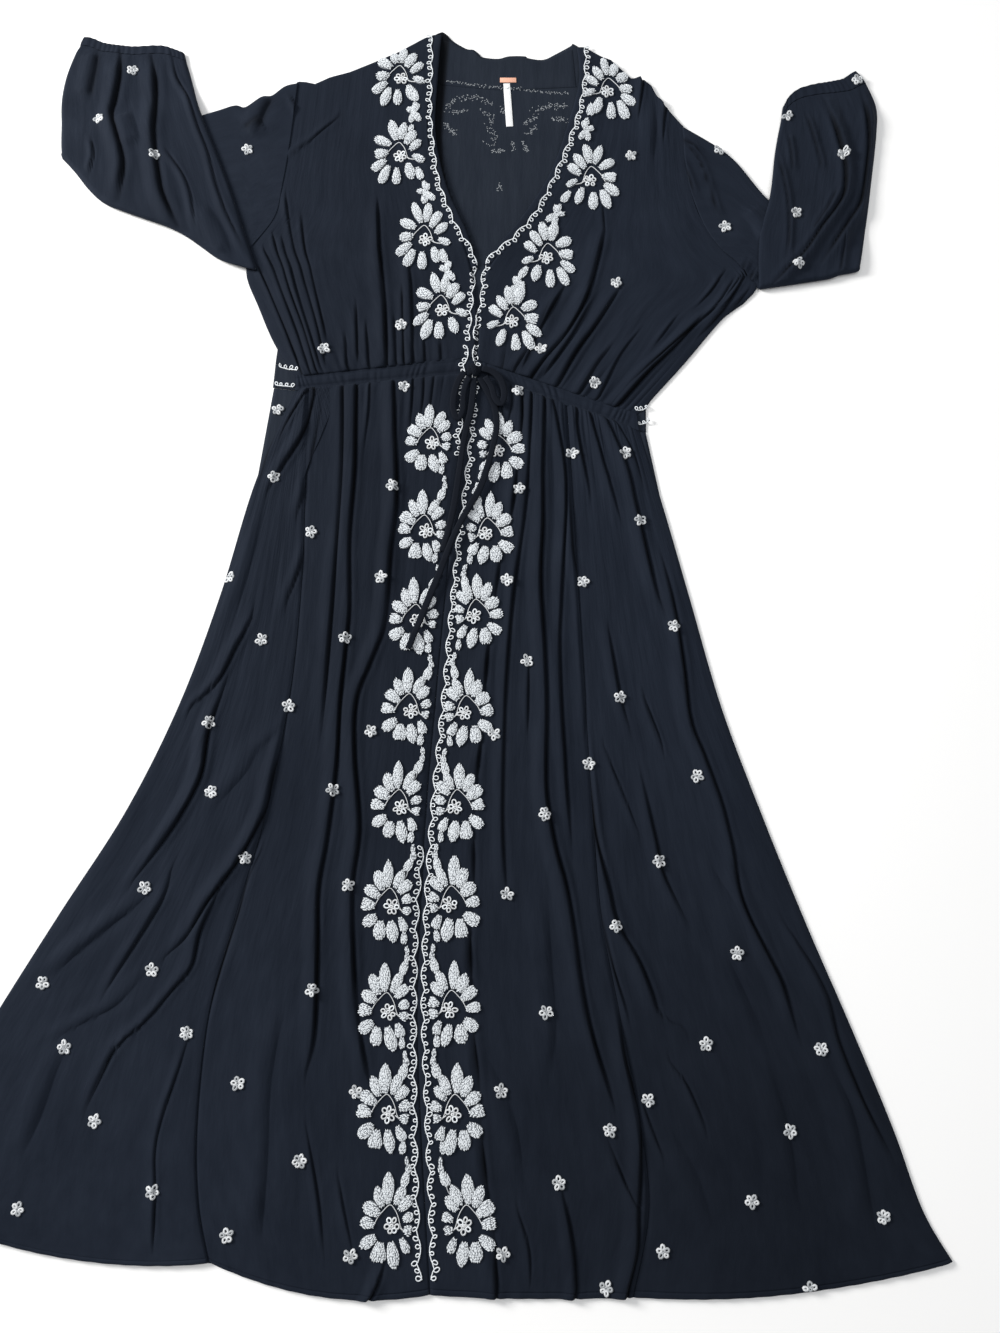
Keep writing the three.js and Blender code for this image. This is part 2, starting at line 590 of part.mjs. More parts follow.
// A raised flower: blunt petals round an open heart, lying on the cloth under it.
function flower([x, y], panels, number) {
  const points = [];
  const triangles = [];
  const lay = (angle, reach, rise) => {
    const px = x + FLOWER_HALF_WIDTH * reach * Math.cos(angle);
    const py = y + FLOWER_HALF_HEIGHT * reach * Math.sin(angle);
    const base = clothTop(panels, px, py) + FLOWER_GAP;
    points.push(new THREE.Vector3(px, py, base), new THREE.Vector3(px, py, base + rise));
    return points.length - 2;
  };
  const step = (2 * Math.PI) / FLOWER_PETALS;
  const petals = range(FLOWER_PETALS).map((i) => {
    const angle = i * step + number * 0.7;
    const reach = 0.94 + 0.06 * Math.sin(i * 2.4 + number);
    return {
      heart: lay(angle, FLOWER_HEART, PETAL_ROOT_RISE),
      notch: lay(angle, PETAL_NOTCH, PETAL_ROOT_RISE),
      near: lay(angle + 0.3 * step, reach, PETAL_RISE),
      far: lay(angle + 0.7 * step, reach, PETAL_RISE),
    };
  });
  petals.forEach((petal, i) => {
    const next = petals[(i + 1) % FLOWER_PETALS];
    const outline = [petal.notch, petal.near, petal.far, next.notch];
    const fan = [...outline, next.heart];
    for (const k of range(fan.length - 1)) {
      triangles.push([petal.heart + 1, fan[k] + 1, fan[k + 1] + 1]);
      triangles.push([petal.heart, fan[k + 1], fan[k]]);
    }
    for (const k of range(outline.length - 1)) {
      triangles.push(...quad(outline[k], outline[k + 1], outline[k + 1] + 1, outline[k] + 1));
    }
    triangles.push(...quad(next.heart, petal.heart, petal.heart + 1, next.heart + 1));
  });
  return solidGeometry(points, triangles);
}

// A flat cord along a route, lying with its broad side up.
function tieCord(route) {
  const curve = new THREE.CatmullRomCurve3(route.map((p) => new THREE.Vector3(...p)));
  const steps = route.length * 2;
  const points = [];
  for (const i of range(steps + 1)) {
    const centre = curve.getPoint(i / steps);
    const way = curve.getTangent(i / steps);
    const across = new THREE.Vector3(-way.y, way.x, 0).normalize();
    for (const j of range(TIE_SIDES)) {
      const angle = ((j + 0.5) / TIE_SIDES) * 2 * Math.PI;
      const point = centre.clone().addScaledVector(across, (TIE_WIDTH / 2) * Math.cos(angle));
      points.push(point.setZ(point.z + (TIE_THICKNESS / 2) * Math.sin(angle)));
    }
  }
  const at = (i, j) => i * TIE_SIDES + (j % TIE_SIDES);
  const triangles = [];
  for (const i of range(steps)) {
    for (const j of range(TIE_SIDES)) {
      triangles.push(...quad(at(i, j), at(i, j + 1), at(i + 1, j + 1), at(i + 1, j)));
    }
  }
  for (const j of range(TIE_SIDES - 2)) {
    triangles.push([at(0, 0), at(0, j + 2), at(0, j + 1)]);
    triangles.push([at(steps, 0), at(steps, j + 1), at(steps, j + 2)]);
  }
  return solidGeometry(points, triangles);
}

const dress = new THREE.Group();

// Adds one named piece in its own material.
function addPiece(name, geometry, color = NAVY, roughness = 0.9) {
  const mesh = new THREE.Mesh(geometry, new THREE.MeshStandardMaterial({ color, roughness, metalness: 0 }));
  mesh.name = name;
  dress.add(mesh);
  return geometry;
}

// Back of the dress, flat on the floor
addPiece(
  "back_bodice",
  flatPanel([[-169.5, 241.4], ...BACK_BODICE_LEFT, ...BACK_NECK, ...BACK_BODICE_RIGHT, [216, 192.4]], 0),
  NAVY_BACK,
);
addPiece("back_waistband", flatPanel(Object.values(BAND), 0), NAVY_BACK);
const hemPoints = (from, to, bow) =>
  [0.25, 0.5, 0.75].map((s) => [lerp(from[0], to[0], s), lerp(from[1], to[1], s) + bow * 4 * s * (1 - s)]);
const hem = SKIRT_SECTIONS[SKIRT_SECTIONS.length - 1];
addPiece(
  "back_skirt",
  flatPanel(
    [
      [BAND.bottomLeft[0], BAND.bottomLeft[1] - SEAM_GAP],
      ...column(SKIRT_SECTIONS, "left").slice(1),
      ...hemPoints(hem.left, hem.seamL, HEM_DROP.left),
      hem.seamL,
      ...hemPoints(hem.seamL, hem.centre, HEM_DROP.frontLeft),
      hem.centre,
      ...hemPoints(hem.centre, hem.seamR, HEM_DROP.frontRight),
      hem.seamR,
      ...hemPoints(hem.seamR, hem.right, HEM_DROP.right),
      ...column(SKIRT_SECTIONS, "right").slice(1).toReversed(),
      [BAND.bottomRight[0], BAND.bottomRight[1] - SEAM_GAP],
    ],
    0,
  ),
  NAVY_BACK,
);
addPiece("back_neck_facing", flatPanel(FACING_OUTLINE, FRONT_BASE), NAVY_BACK);

// Front bodice
const bodice = (sections, folds, topEdge) =>
  clothPanel({
    inner: column(sections, "inner"),
    outer: column(sections, "outer"),
    rows: BODICE_ROWS,
    columns: BODICE_COLUMNS,
    height: (across, along, width) => foldHeight(folds, across, along, width),
    topEdge,
  });
const bodiceLeft = addPiece(
  "front_bodice_left",
  bodice(BODICE_LEFT_SECTIONS, FOLDS.bodiceLeft, SHOULDER_EDGE.left),
);
const bodiceRight = addPiece(
  "front_bodice_right",
  bodice(BODICE_RIGHT_SECTIONS, FOLDS.bodiceRight, SHOULDER_EDGE.right),
);

// Front skirt
const skirtPanel = (innerName, outerName, pitch, folds, hemBow) => {
  const inner = column(SKIRT_SECTIONS, innerName);
  const outer = column(SKIRT_SECTIONS, outerName);
  const hemWidth = Math.abs(outer[outer.length - 1][0] - inner[inner.length - 1][0]);
  return clothPanel({
    inner,
    outer,
    rows: SKIRT_ROWS,
    columns: Math.round(hemWidth / pitch),
    height: (across, along, width) => foldHeight(folds, across, along, width),
    hemBow,
  });
};
const skirtLeft = addPiece(
  "front_skirt_left",
  skirtPanel("centre", "seamL", FRONT_COLUMN_PITCH, FOLDS.frontSkirtLeft, HEM_DROP.frontLeft),
);
const skirtRight = addPiece(
  "front_skirt_right",
  skirtPanel("centre", "seamR", FRONT_COLUMN_PITCH, FOLDS.frontSkirtRight, HEM_DROP.frontRight),
);
addPiece(
  "side_skirt_left",
  skirtPanel("seamL", "left", SIDE_COLUMN_PITCH, FOLDS.sideSkirtLeft, HEM_DROP.left),
);
addPiece(
  "side_skirt_right",
  skirtPanel("seamR", "right", SIDE_COLUMN_PITCH, FOLDS.sideSkirtRight, HEM_DROP.right),
);

// Drawstring casing between the bodice and the skirt
const CASING_CLEARANCE = 0.4;
const lastOf = (table) => table[table.length - 1];
const waist = SKIRT_SECTIONS[0];
const casing = (bodiceRow, skirtOuter, gathers) => {
  const lower = ([x, y]) => [x, y - CASING_CLEARANCE];
  const upper = ([x, y]) => [x, y + CASING_CLEARANCE];
  return clothPanel({
    inner: [lower(bodiceRow.inner), upper(waist.centre)],
    outer: [lower(bodiceRow.outer), upper(skirtOuter)],
    rows: [0, 0.5, 1],
    columns: gathers * 2,
    wall: CASING_WALL,
    height: (across) => CASING_GATHER_HEIGHT * (0.5 - 0.5 * Math.cos(2 * Math.PI * gathers * across)),
  });
};
const casingLeft = addPiece(
  "waist_casing_left",
  casing(lastOf(BODICE_LEFT_SECTIONS), waist.left, CASING_GATHERS.left),
);
const casingRight = addPiece(
  "waist_casing_right",
  casing(lastOf(BODICE_RIGHT_SECTIONS), waist.right, CASING_GATHERS.right),
);

// Neck binding
addPiece("neck_binding_left", neckBinding(BODICE_LEFT_SECTIONS, 1));
addPiece("neck_binding_right", neckBinding(BODICE_RIGHT_SECTIONS, -1));

// Sleeves and cuffs
for (const [side, sleeve] of Object.entries({ left: SLEEVE_LEFT, right: SLEEVE_RIGHT })) {
  addPiece("sleeve_" + side, sleeveTube(sleeve));
  addPiece("cuff_" + side, cuffTube(sleeve));
}

// Raised flowers down each front
const fronts = {
  left: [bodiceLeft, skirtLeft, casingLeft],
  right: [bodiceRight, skirtRight, casingRight],
};
FLOWERS.forEach((row, i) => {
  for (const side of ["left", "right"]) {
    const number = String(i + 1).padStart(2, "0");
    addPiece("flower_" + side + "_" + number, flower(row[side], fronts[side], i), THREAD, 0.75);
  }
});

// Drawstring
const knot = new THREE.SphereGeometry(0.5, 12, 8).rotateX(Math.PI / 2);
addPiece("tie_knot", knot.scale(...KNOT_SIZE).translate(...KNOT_CENTRE));
for (const [name, route] of Object.entries(TIE_ROUTES)) {
  addPiece(name, tieCord(route));
}

// Neck label, unmarked
const LABEL_BASE = FRONT_BASE + WALL + SEAM_GAP;
addPiece(
  "label_tab",
  flatPanel([[65, 579], [83, 579], [83, 585], [65, 585]], LABEL_BASE, LABEL_WALL),
  LABEL_TAB,
);
addPiece(
  "label_strip",
  flatPanel([[69.5, 524], [78.5, 524], [78.5, 578.6], [69.5, 578.6]], LABEL_BASE, LABEL_WALL),
  LABEL_WHITE,
);

export default dress;
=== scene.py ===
"""Peasant dress laid out flat: gathered cloth, raised embroidery, a drawstring bow, floor and light."""
import math
import random

import bpy
import numpy as np
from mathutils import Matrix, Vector
from mathutils.bvhtree import BVHTree


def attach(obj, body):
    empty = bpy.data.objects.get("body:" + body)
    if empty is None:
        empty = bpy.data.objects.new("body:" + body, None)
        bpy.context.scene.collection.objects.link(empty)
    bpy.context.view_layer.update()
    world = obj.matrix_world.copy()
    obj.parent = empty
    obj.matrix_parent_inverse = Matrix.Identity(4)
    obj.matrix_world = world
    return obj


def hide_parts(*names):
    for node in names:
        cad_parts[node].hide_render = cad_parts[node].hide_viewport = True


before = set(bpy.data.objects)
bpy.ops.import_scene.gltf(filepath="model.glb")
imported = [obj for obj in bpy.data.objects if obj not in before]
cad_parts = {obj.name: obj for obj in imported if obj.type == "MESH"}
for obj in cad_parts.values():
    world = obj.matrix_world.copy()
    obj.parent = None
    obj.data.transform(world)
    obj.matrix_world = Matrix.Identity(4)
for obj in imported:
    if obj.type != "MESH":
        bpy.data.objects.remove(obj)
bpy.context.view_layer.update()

MM = 0.001
STITCH_SEED = 7
rng = random.Random(STITCH_SEED)

# The view: the photograph's size and focal length in pixels, and the camera's place in metres.
PHOTO_CENTRE = (500.0, 666.5)
PHOTO_LONG_SIDE = 1333.0
PHOTO_FOCAL = 1000.0
CAMERA_PLACE = Vector((0.065, -0.2705, 0.965))
CAMERA_TILT = math.radians(11.15)
SENSOR = 36.0

# Levels of the cloth, in mm above the floor.
BACK_TOP = 1.3
FRONT_TOP = 2.7
FRONT_LOWEST = 1.75
CLOTH_THICK = 0.7
FOLD_LIMIT = 7.0
TUBE_HEIGHT = 3.4
FOLD_AXIS_Z = 3.9
FOREARM_LIFT = 4.4
FOREARM_SLOPE = 45.0
ABOVE_CLOTH = 60.0
# The stitched hem: its depth, and the distances from its edge of the rows of points that shape it, in mm.
HEM_DEPTH = 11.0
HEM_ROWS = np.array([14.0, 12.4, 11.6, 11.0, 10.4, 9.4, 6.5, 3.5, 1.6, 0.6, 0.0])
HEM_ROWS_START = 15.5

# Skirt sections from the waist to the hem, in mm: left side, left seam, centre, right seam, right side.
SKIRT_SECTIONS = [
    ((-147, 212), (-133, 213.4), (38.5, 231), (134, 195.5), (208, 168)),
    ((-184, 110), (-133, 110), (22, 122), (139, 95), (231, 82)),
    ((-213, -8), (-133, 2), (12, 8), (143, -5), (254, -12)),
    ((-247, -118), (-140, -108), (3, -106), (148, -110), (281, -122)),
    ((-291, -220), (-157, -218), (-5, -214), (153, -216), (316, -228)),
    ((-346, -315), (-182, -318), (-10, -318), (160, -320), (352, -328)),
    ((-397, -405), (-202, -404), (-11, -410), (176, -412), (387, -418)),
    ((-440, -485), (-208, -500), (-6, -505), (192, -505), (419, -505)),
    ((-467, -534), (-203, -566), (-1, -575), (197, -572), (440, -572)),
    ((-480, -560), (-191, -614), (4, -640), (181, -642), (463, -614)),
]
HEM_DROP = {"left": -20, "front_left": -14, "front_right": -2, "right": -11}

# Bodice sections from the shoulder to the waist, in mm: neck edge, side edge.
BODICE_LEFT = [
    ((-8.5, 640), (-157.5, 580)), ((-11.8, 585), (-163, 505)), ((-13.6, 512), (-169, 452)),
    ((-0.5, 446), (-176, 412)), ((21.5, 391), (-199, 377)), ((34, 350), (-205, 345)),
    ((40, 310), (-190, 306)), ((40, 275), (-172, 265)), ((38, 247.5), (-148, 226)),
]
BODICE_RIGHT = [
    ((159, 624), (264, 526)), ((160.5, 577), (266, 480)), ((147.5, 523.5), (270, 440)),
    ((127, 461), (281, 405)), ((94.5, 405), (302, 373)), ((54, 352), (338, 332)),
    ((43.5, 310), (298, 291)), ((43, 275), (256, 240)), ((41, 244.5), (206, 183.5)),
]
# How far each shoulder edge lies above the straight line between its ends, by share from the neck, in mm.
SHOULDER_EDGE = {
    "left": [(0, 0), (0.07, 0), (0.256, -6.7), (0.433, -9), (0.625, -10.5), (0.772, -8), (0.882, -10),
             (0.95, -3.5), (1, 0)],
    "right": [(0, 0), (0.17, 5), (0.28, 11), (0.49, 8), (0.59, 18), (0.7, 20), (0.76, 11), (0.88, 5), (1, 0)],
}

# Back bodice edges, in mm, from the waist up each side, and across the shoulders and neck.
BACK_LEFT = [
    (-169.5, 241.4), (-168, 262), (-179, 288), (-194, 318), (-205, 345), (-203, 362), (-199, 377),
    (-176, 412), (-169, 452), (-163, 505), (-157.5, 580),
]
BACK_RIGHT = [
    (216, 192.4), (225, 206), (250, 233), (270, 260), (291, 287), (329, 316), (331, 334), (316, 357),
    (298, 375), (280, 408), (267, 461), (264, 526),
]
BACK_TOP_EDGE = [
    (-157.5, 580), (-150, 578.5), (-140, 575.5), (-123.6, 584.5), (-101.6, 591), (-73, 604),
    (-46.6, 617), (-19, 634.5), (-3, 644), (3, 643.6), (12, 633.7), (19.7, 627.9), (28.5, 622.9),
    (35.6, 622), (41.3, 616.8), (46.4, 612.4), (62.8, 610.6), (75.5, 613.9), (92.6, 613.9), (97, 611.3),
    (113.4, 609.5), (127.4, 616.8), (144, 627.2), (147.5, 629.8), (165, 617), (176.5, 612),
    (188.6, 606.5), (210, 583.5), (221.4, 584), (232, 575), (238.4, 558), (264, 526),
]
BAND = {"top": ((-169.5, 241), (216, 192)), "bottom": ((-171, 215), (215.5, 165.5))}
FACING_TOP = [
    (1, 634), (12, 629), (19.7, 624), (28.5, 619), (35.6, 618), (41.3, 613), (46.4, 609), (62.8, 607),
    (75.5, 610), (92.6, 610), (97, 607.5), (113.4, 606), (127.4, 613), (141, 621.5), (146, 622),
]
FACING_BOTTOM = [(-1.5, 577), (36, 573), (74, 570), (112, 572), (149.5, 574)]

# Sleeves, in mm: the armhole, then rows of underarm and outer edge, before and after the fold at the elbow.
SLEEVES = {
    "left": {
        "armhole": [(-200.2, 377.3), (-177.2, 412), (-170.2, 452), (-164.2, 505), (-158.6, 578.5)],
        "fold": {"inner": (-190, 352.5), "outer": (-411, 487.5), "tucked": (-206.5, 362.5)},
        "upper": [
            ((-202, 376), (-173, 574.5)), ((-203, 375), (-187, 562.8)), ((-204, 374), (-199, 561)),
            ((-204.6, 372.5), (-216, 548)), ((-205.3, 371), (-228, 550)), ((-205.6, 369.5), (-252, 541.5)),
            ((-206, 366), (-335, 513)),
        ],
        "hug": [1, 0.88, 0.75, 0.6, 0.45, 0.3, 0.15, 0, 0],
        "forearm": [
            ((-214, 414), (-416, 525)), ((-238, 474), (-418.5, 556)), ((-265, 541), (-416, 586)),
            ((-280, 592), (-409, 614)), ((-284.7, 609), (-404, 626)),
        ],
        "cuff": [((-284.8, 609.4), (-404, 626.4)), ((-286, 614), (-403, 631.5)),
                 ((-287.5, 619.5), (-401, 637))],
        "rest": ((-258, 540), (-413, 486)),
        "fold_bulge": [6, 11, 9, 7, 8.5, 13, 17.5, 20.5, 15.5, 6.5, 0],
        "cuff_bow": [-3, -0.4, 1.7, 0.5, -2, -4.3, -4.8, -5, -4.2, -0.8, 0],
    },
    "right": {
        "armhole": [
            (332.5, 335.5), (317.5, 358.5), (299.6, 376.5), (281.8, 408.8), (268.1, 461.6), (265, 524.5),
        ],
        "fold": {"inner": (338, 331), "outer": (447, 351), "tucked": (337.5, 331)},
        "upper": [((334.5, 335), (316, 487)), ((335.5, 334), (355, 434)), ((336.5, 333), (402, 393))],
        "hug": [1, 0.6, 0.25, 0, 0],
        "forearm": [
            ((342, 386), (459, 405)), ((355, 432), (468, 455)), ((365, 490), (478, 515)),
            ((370, 525), (480, 548)), ((372, 544), (471, 578)),
        ],
        "cuff": [((372.1, 544.5), (470.8, 578.5)), ((372.9, 549.5), (467, 586)), ((374, 555), (461, 594))],
        "rest": ((355, 438), (447, 350)),
        "fold_bulge": [1.5, 1.8, 2, 2.3, 2.5, 2.7, 2.9, 2.8, 0.6, 0.5, 0],
        "cuff_bow": [-7.3, -0.3, 3.9, 5.3, 4.4, 2.8, 0.3, -1.8, -3.4, -1.6, 0],
    },
}

# Kinds of crease, in mm: height of the lip, its rise beside the valley, its fall beyond, the valley's depth,
# which also sets how dark its painted shade is.
CREASE_KINDS = {
    "deep": (6.0, 2.8, 14.0, 1.1),
    "clear": (4.2, 2.4, 11.0, 0.9),
    "fine": (2.4, 1.9, 7.0, 0.7),
    "line": (1.8, 1.7, 6.0, 0.9),
    "band": (4.6, 4.6, 15.0, 1.0),
    "soft": (3.6, 9.0, 22.0, 0.0),
    "hollow": (2.8, 7.0, 18.0, 0.55),
}

# Creases as they lie in the photograph, in pixels: kind, then points down the valley line.
CREASES = {
    "side_skirt_left": [
        ("clear", [(311, 388), (295, 409), (283, 430)]),
        ("deep", [(315, 395), (305, 431), (284, 465), (268, 490)]),
        ("clear", [(321, 410), (313, 452), (309, 478), (297, 513)]),
        ("fine", [(281, 420), (268, 452), (260, 480)]),
        ("clear", [(312, 535), (297, 575), (287, 600)]),
        ("soft", [(268, 500), (247, 580), (232, 625)]),
        ("deep", [(252, 618), (233, 655), (217, 684), (192, 705)]),
        ("deep", [(226, 684), (210, 729), (203, 770), (192, 796), (170, 832), (134, 880)]),
        ("soft", [(286, 725), (259, 752), (246, 774), (216, 806)]),
        ("deep", [(295, 718), (275, 770), (268, 805), (255, 832), (237, 863), (210, 899), (188, 935),
                  (165, 957)]),
        ("clear", [(172, 868), (165, 895), (147, 926), (130, 953), (107, 990)]),
        ("soft", [(152, 890), (134, 908), (89, 944), (60, 970)]),
        ("clear", [(222, 885), (201, 930), (192, 966), (170, 993), (147, 1020), (118, 1046), (103, 1073),
                   (86, 1108)]),
        ("soft", [(150, 968), (121, 1002), (89, 1020), (60, 1036)]),
        ("fine", [(190, 1034), (179, 1069), (165, 1109), (156, 1145), (156, 1190), (154, 1236)]),
        ("soft", [(70, 1042), (58, 1069), (42, 1113), (25, 1145)]),
    ],
    "front_skirt_left": [
        ("deep", [(357, 386), (356, 431), (355, 473), (350, 540), (350, 607), (346, 650), (341, 700),
                  (337, 765), (328, 837), (319, 890), (318, 953), (315, 1033), (306, 1075)]),
        ("clear", [(343, 390), (342, 470), (336, 560), (330, 640), (322, 730)]),
        ("fine", [(370, 388), (369, 410), (366, 436)]),
        ("deep", [(394, 380), (395, 425), (397, 500), (391, 553), (386, 620), (372, 660), (357, 700),
                  (355, 752), (360, 828), (353, 890), (355, 979), (362, 1042), (373, 1095)]),
        ("fine", [(413, 382), (412, 404), (410, 430)]),
        ("fine", [(424, 380), (423, 400), (420, 424)]),
        ("fine", [(434, 378), (431, 404), (428, 430)]),
        ("clear", [(262, 850), (248, 880), (238, 916), (223, 962), (213, 996), (204, 1030)]),
        ("fine", [(306, 1122), (319, 1190), (325, 1240)]),
        ("fine", [(338, 1168), (345, 1202), (354, 1240)]),
        ("clear", [(386, 1250), (379, 1270), (368, 1290)]),
        ("soft", [(285, 1010), (272, 1080), (268, 1160), (262, 1230)]),
    ],
    "front_skirt_right": [
        ("deep", [(521, 388), (522, 424), (511, 519), (500, 564), (493, 620), (487, 662), (483, 728),
                  (478, 768), (474, 830), (474, 887), (470, 940), (472, 993), (474, 1037), (479, 1082),
                  (481, 1126), (486, 1179), (494, 1232), (497, 1282)]),
        ("clear", [(532, 390), (529, 466), (524, 522), (514, 592), (508, 660), (505, 719), (503, 825),
                   (507, 890)]),
        ("deep", [(545, 392), (543, 466), (543, 522), (541, 580), (545, 650), (547, 706), (546, 772),
                  (548, 803), (556, 847), (567, 887), (574, 927), (582, 984), (591, 1029), (604, 1073),
                  (614, 1103)]),
        ("clear", [(553, 400), (566, 480), (562, 592), (560, 640), (562, 706), (565, 755), (567, 790),
                   (572, 840)]),
        ("fine", [(529, 668), (528, 726)]),
        ("clear", [(570, 490), (574, 553), (582, 592), (585, 648), (587, 697), (585, 736)]),
        ("fine", [(503, 390), (502, 410), (498, 436)]),
        ("fine", [(511, 389), (512, 404), (508, 424)]),
        ("soft", [(478, 1042), (501, 1082), (518, 1130), (524, 1180)]),
        ("fine", [(517, 1206), (529, 1245), (531, 1280)]),
        ("clear", [(562, 1188), (573, 1240), (577, 1285)]),
        ("fine", [(606, 1135), (624, 1179), (638, 1208)]),
        ("soft", [(548, 900), (552, 960), (556, 1030), (548, 1090)]),
        ("deep", [(620, 1007), (624, 1051), (634, 1091), (641, 1117), (641, 1170), (639, 1210), (638, 1250),
                  (630, 1284)]),
    ],
    "side_skirt_right": [
        ("clear", [(577, 412), (578, 432), (590, 491)]),
        ("clear", [(588, 405), (601, 452), (621, 519)]),
        ("deep", [(604, 414), (626, 463), (637, 508), (654, 581), (664, 610)]),
        ("fine", [(615, 420), (632, 450), (642, 480)]),
        ("deep", [(662, 555), (676, 614), (684, 666), (691, 720), (706, 759), (722, 803), (733, 848),
                  (739, 887), (748, 914), (770, 958), (783, 985), (798, 1033)]),
        ("clear", [(609, 630), (620, 693), (630, 728)]),
        ("deep", [(571, 690), (583, 742), (590, 786), (597, 839), (609, 887), (618, 923), (638, 958),
                  (651, 989), (661, 1014), (686, 1028)]),
        ("fine", [(645, 700), (662, 744)]),
        ("fine", [(604, 746), (624, 795), (639, 832)]),
        ("clear", [(642, 775), (657, 843), (664, 874), (689, 925)]),
        ("clear", [(599, 905), (607, 940), (616, 976), (628, 1013)]),
        ("soft", [(712, 866), (737, 908), (752, 950)]),
        ("soft", [(729, 958), (748, 998), (763, 1032)]),
        ("clear", [(783, 920), (810, 962), (828, 998), (838, 1038), (855, 1082), (873, 1121), (893, 1158)]),
        ("fine", [(642, 1100), (652, 1128), (663, 1155)]),
        ("fine", [(670, 1062), (687, 1084), (705, 1124)]),
        ("soft", [(826, 1056), (852, 1108), (866, 1170), (877, 1232)]),
        ("soft", [(671, 1128), (697, 1170), (712, 1215)]),
        ("soft", [(770, 1060), (790, 1130), (800, 1200)]),
    ],
    "front_bodice_left": [
        ("line", [(256, 262), (268, 288), (288, 336), (302, 374)]),
        ("fine", [(266, 246), (279, 284), (297, 332), (310, 372)]),
        ("line", [(275, 232), (288, 284), (305, 332), (316, 370)]),
        ("fine", [(284, 235), (295, 284), (311, 336), (321, 368)]),
        ("fine", [(288, 192), (293, 230), (302, 272), (316, 321), (326, 366)]),
        ("line", [(303, 212), (309, 260), (327, 340)]),
        ("fine", [(345, 330), (347, 366)]),
        ("fine", [(366, 320), (369, 366)]),
        ("deep", [(379, 200), (381, 258), (385, 307), (387, 366)]),
        ("clear", [(404, 240), (409, 262), (412, 304), (413, 364)]),
        ("fine", [(424, 330), (425, 362)]),
        ("fine", [(440, 336), (441, 362)]),
        ("hollow", [(342, 111), (320, 130), (298, 150)]),
        ("fine", [(394, 315), (396, 362)]),
        ("line", [(402, 285), (404, 362)]),
        ("line", [(356, 300), (358, 364)]),
    ],
    "front_bodice_right": [
        ("clear", [(549, 303), (534, 339), (516, 368)]),
        ("deep", [(566, 284), (543, 325), (523, 368)]),
        ("deep", [(603, 232), (595, 272), (584, 304), (566, 335), (548, 356), (533, 376)]),
        ("clear", [(591, 303), (570, 340), (544, 376)]),
        ("deep", [(620, 288), (597, 324), (576, 353), (559, 384)]),
        ("clear", [(612, 345), (596, 366), (581, 392)]),
        ("fine", [(640, 330), (620, 356), (600, 396)]),
        ("deep", [(702, 316), (679, 343), (647, 374), (622, 402), (612, 414)]),
        ("clear", [(722, 303), (690, 330), (654, 362), (630, 384)]),
        ("clear", [(738, 288), (722, 312), (700, 336)]),
        ("fine", [(750, 288), (736, 306), (722, 326)]),
        ("fine", [(676, 318), (658, 342)]),
        ("clear", [(645, 84), (642, 100), (638, 121)]),
        ("clear", [(666, 107), (663, 125), (662, 143)]),
        ("soft", [(657, 120), (655, 140), (652, 165)]),
        ("line", [(757, 246), (746, 272), (735, 292), (720, 311)]),
        ("line", [(748, 262), (738, 280), (724, 300)]),
        ("fine", [(738, 272), (722, 298), (706, 318)]),
        ("line", [(726, 268), (712, 290), (698, 306)]),
        ("fine", [(604, 170), (602, 200), (604, 236)]),
        ("fine", [(506, 345), (503, 366)]),
    ],
    "sleeve_left": [
        ("hollow", [(97, 50), (95, 66), (89, 95)]),
        ("band", [(120, 50), (119, 75), (115, 97), (112, 113), (117, 132), (122, 151), (124, 168),
                  (119, 198)]),
        ("band", [(151, 55), (155, 78), (156, 109), (155, 137), (159, 172), (164, 196), (178, 226)]),
        ("fine", [(171, 52), (176, 75), (188, 97), (198, 127), (208, 153), (216, 184), (227, 215),
                  (246, 253)]),
        ("fine", [(167, 152), (183, 175), (191, 196), (195, 224)]),
        ("soft", [(132, 110), (137, 126), (143, 142)]),
        ("soft", [(207, 204), (223, 227), (233, 254)]),
        ("fine", [(92, 140), (94, 156), (90, 172)]),
    ],
    "upper_left": [
        ("hollow", [(272, 96), (264, 110), (258, 128)]),
        ("fine", [(290, 94), (298, 108), (302, 122)]),
        ("hollow", [(243, 126), (258, 116)]),
    ],
    "sleeve_right": [
        ("fine", [(778, 151), (784, 176), (788, 205), (789, 230), (787, 256)]),
        ("fine", [(789, 132), (792, 150), (794, 170)]),
        ("fine", [(807, 112), (815, 136), (824, 170)]),
        ("deep", [(827, 100), (835, 122), (842, 145), (846, 165), (845, 190), (836, 207), (822, 226),
                  (804, 252), (786, 270), (770, 288)]),
        ("fine", [(838, 186), (828, 206), (812, 230)]),
        ("deep", [(863, 92), (868, 113), (870, 136), (868, 162), (862, 198), (851, 217), (840, 234),
                  (823, 260)]),
        ("fine", [(844, 236), (843, 252), (840, 273)]),
    ],
    "upper_right": [
        ("fine", [(684, 140), (696, 152), (704, 168), (714, 198), (722, 218)]),
        ("fine", [(680, 156), (688, 172), (695, 192)]),
        ("fine", [(682, 136), (692, 142), (700, 150)]),
        ("fine", [(756, 268), (747, 284), (738, 300)]),
        ("fine", [(748, 258), (736, 282), (724, 304)]),
        ("soft", [(742, 212), (752, 224), (758, 240)]),
    ],
}

# Large flowers: their centres down each front, in mm, the space they smooth the cloth over, and how much.
FLOWERS = {
    "left": [
        (-46, 584), (-45, 487), (-16, 386), (3, 304), (-6, 154), (-11, 60), (-18, -33), (-23, -123),
        (-31, -216), (-38, -308), (-39, -402), (-37, -490), (-32, -582),
    ],
    "right": [
        (185, 568), (164, 457), (116, 365), (79, 290), (63, 146), (52, 57), (41, -28), (32, -125), (24, -216),
        (19, -306), (20, -400), (24, -490), (35, -582),
    ],
}
FLOWER_CALM = (33.0, 42.0)
FLOWER_HOLD = 0.85

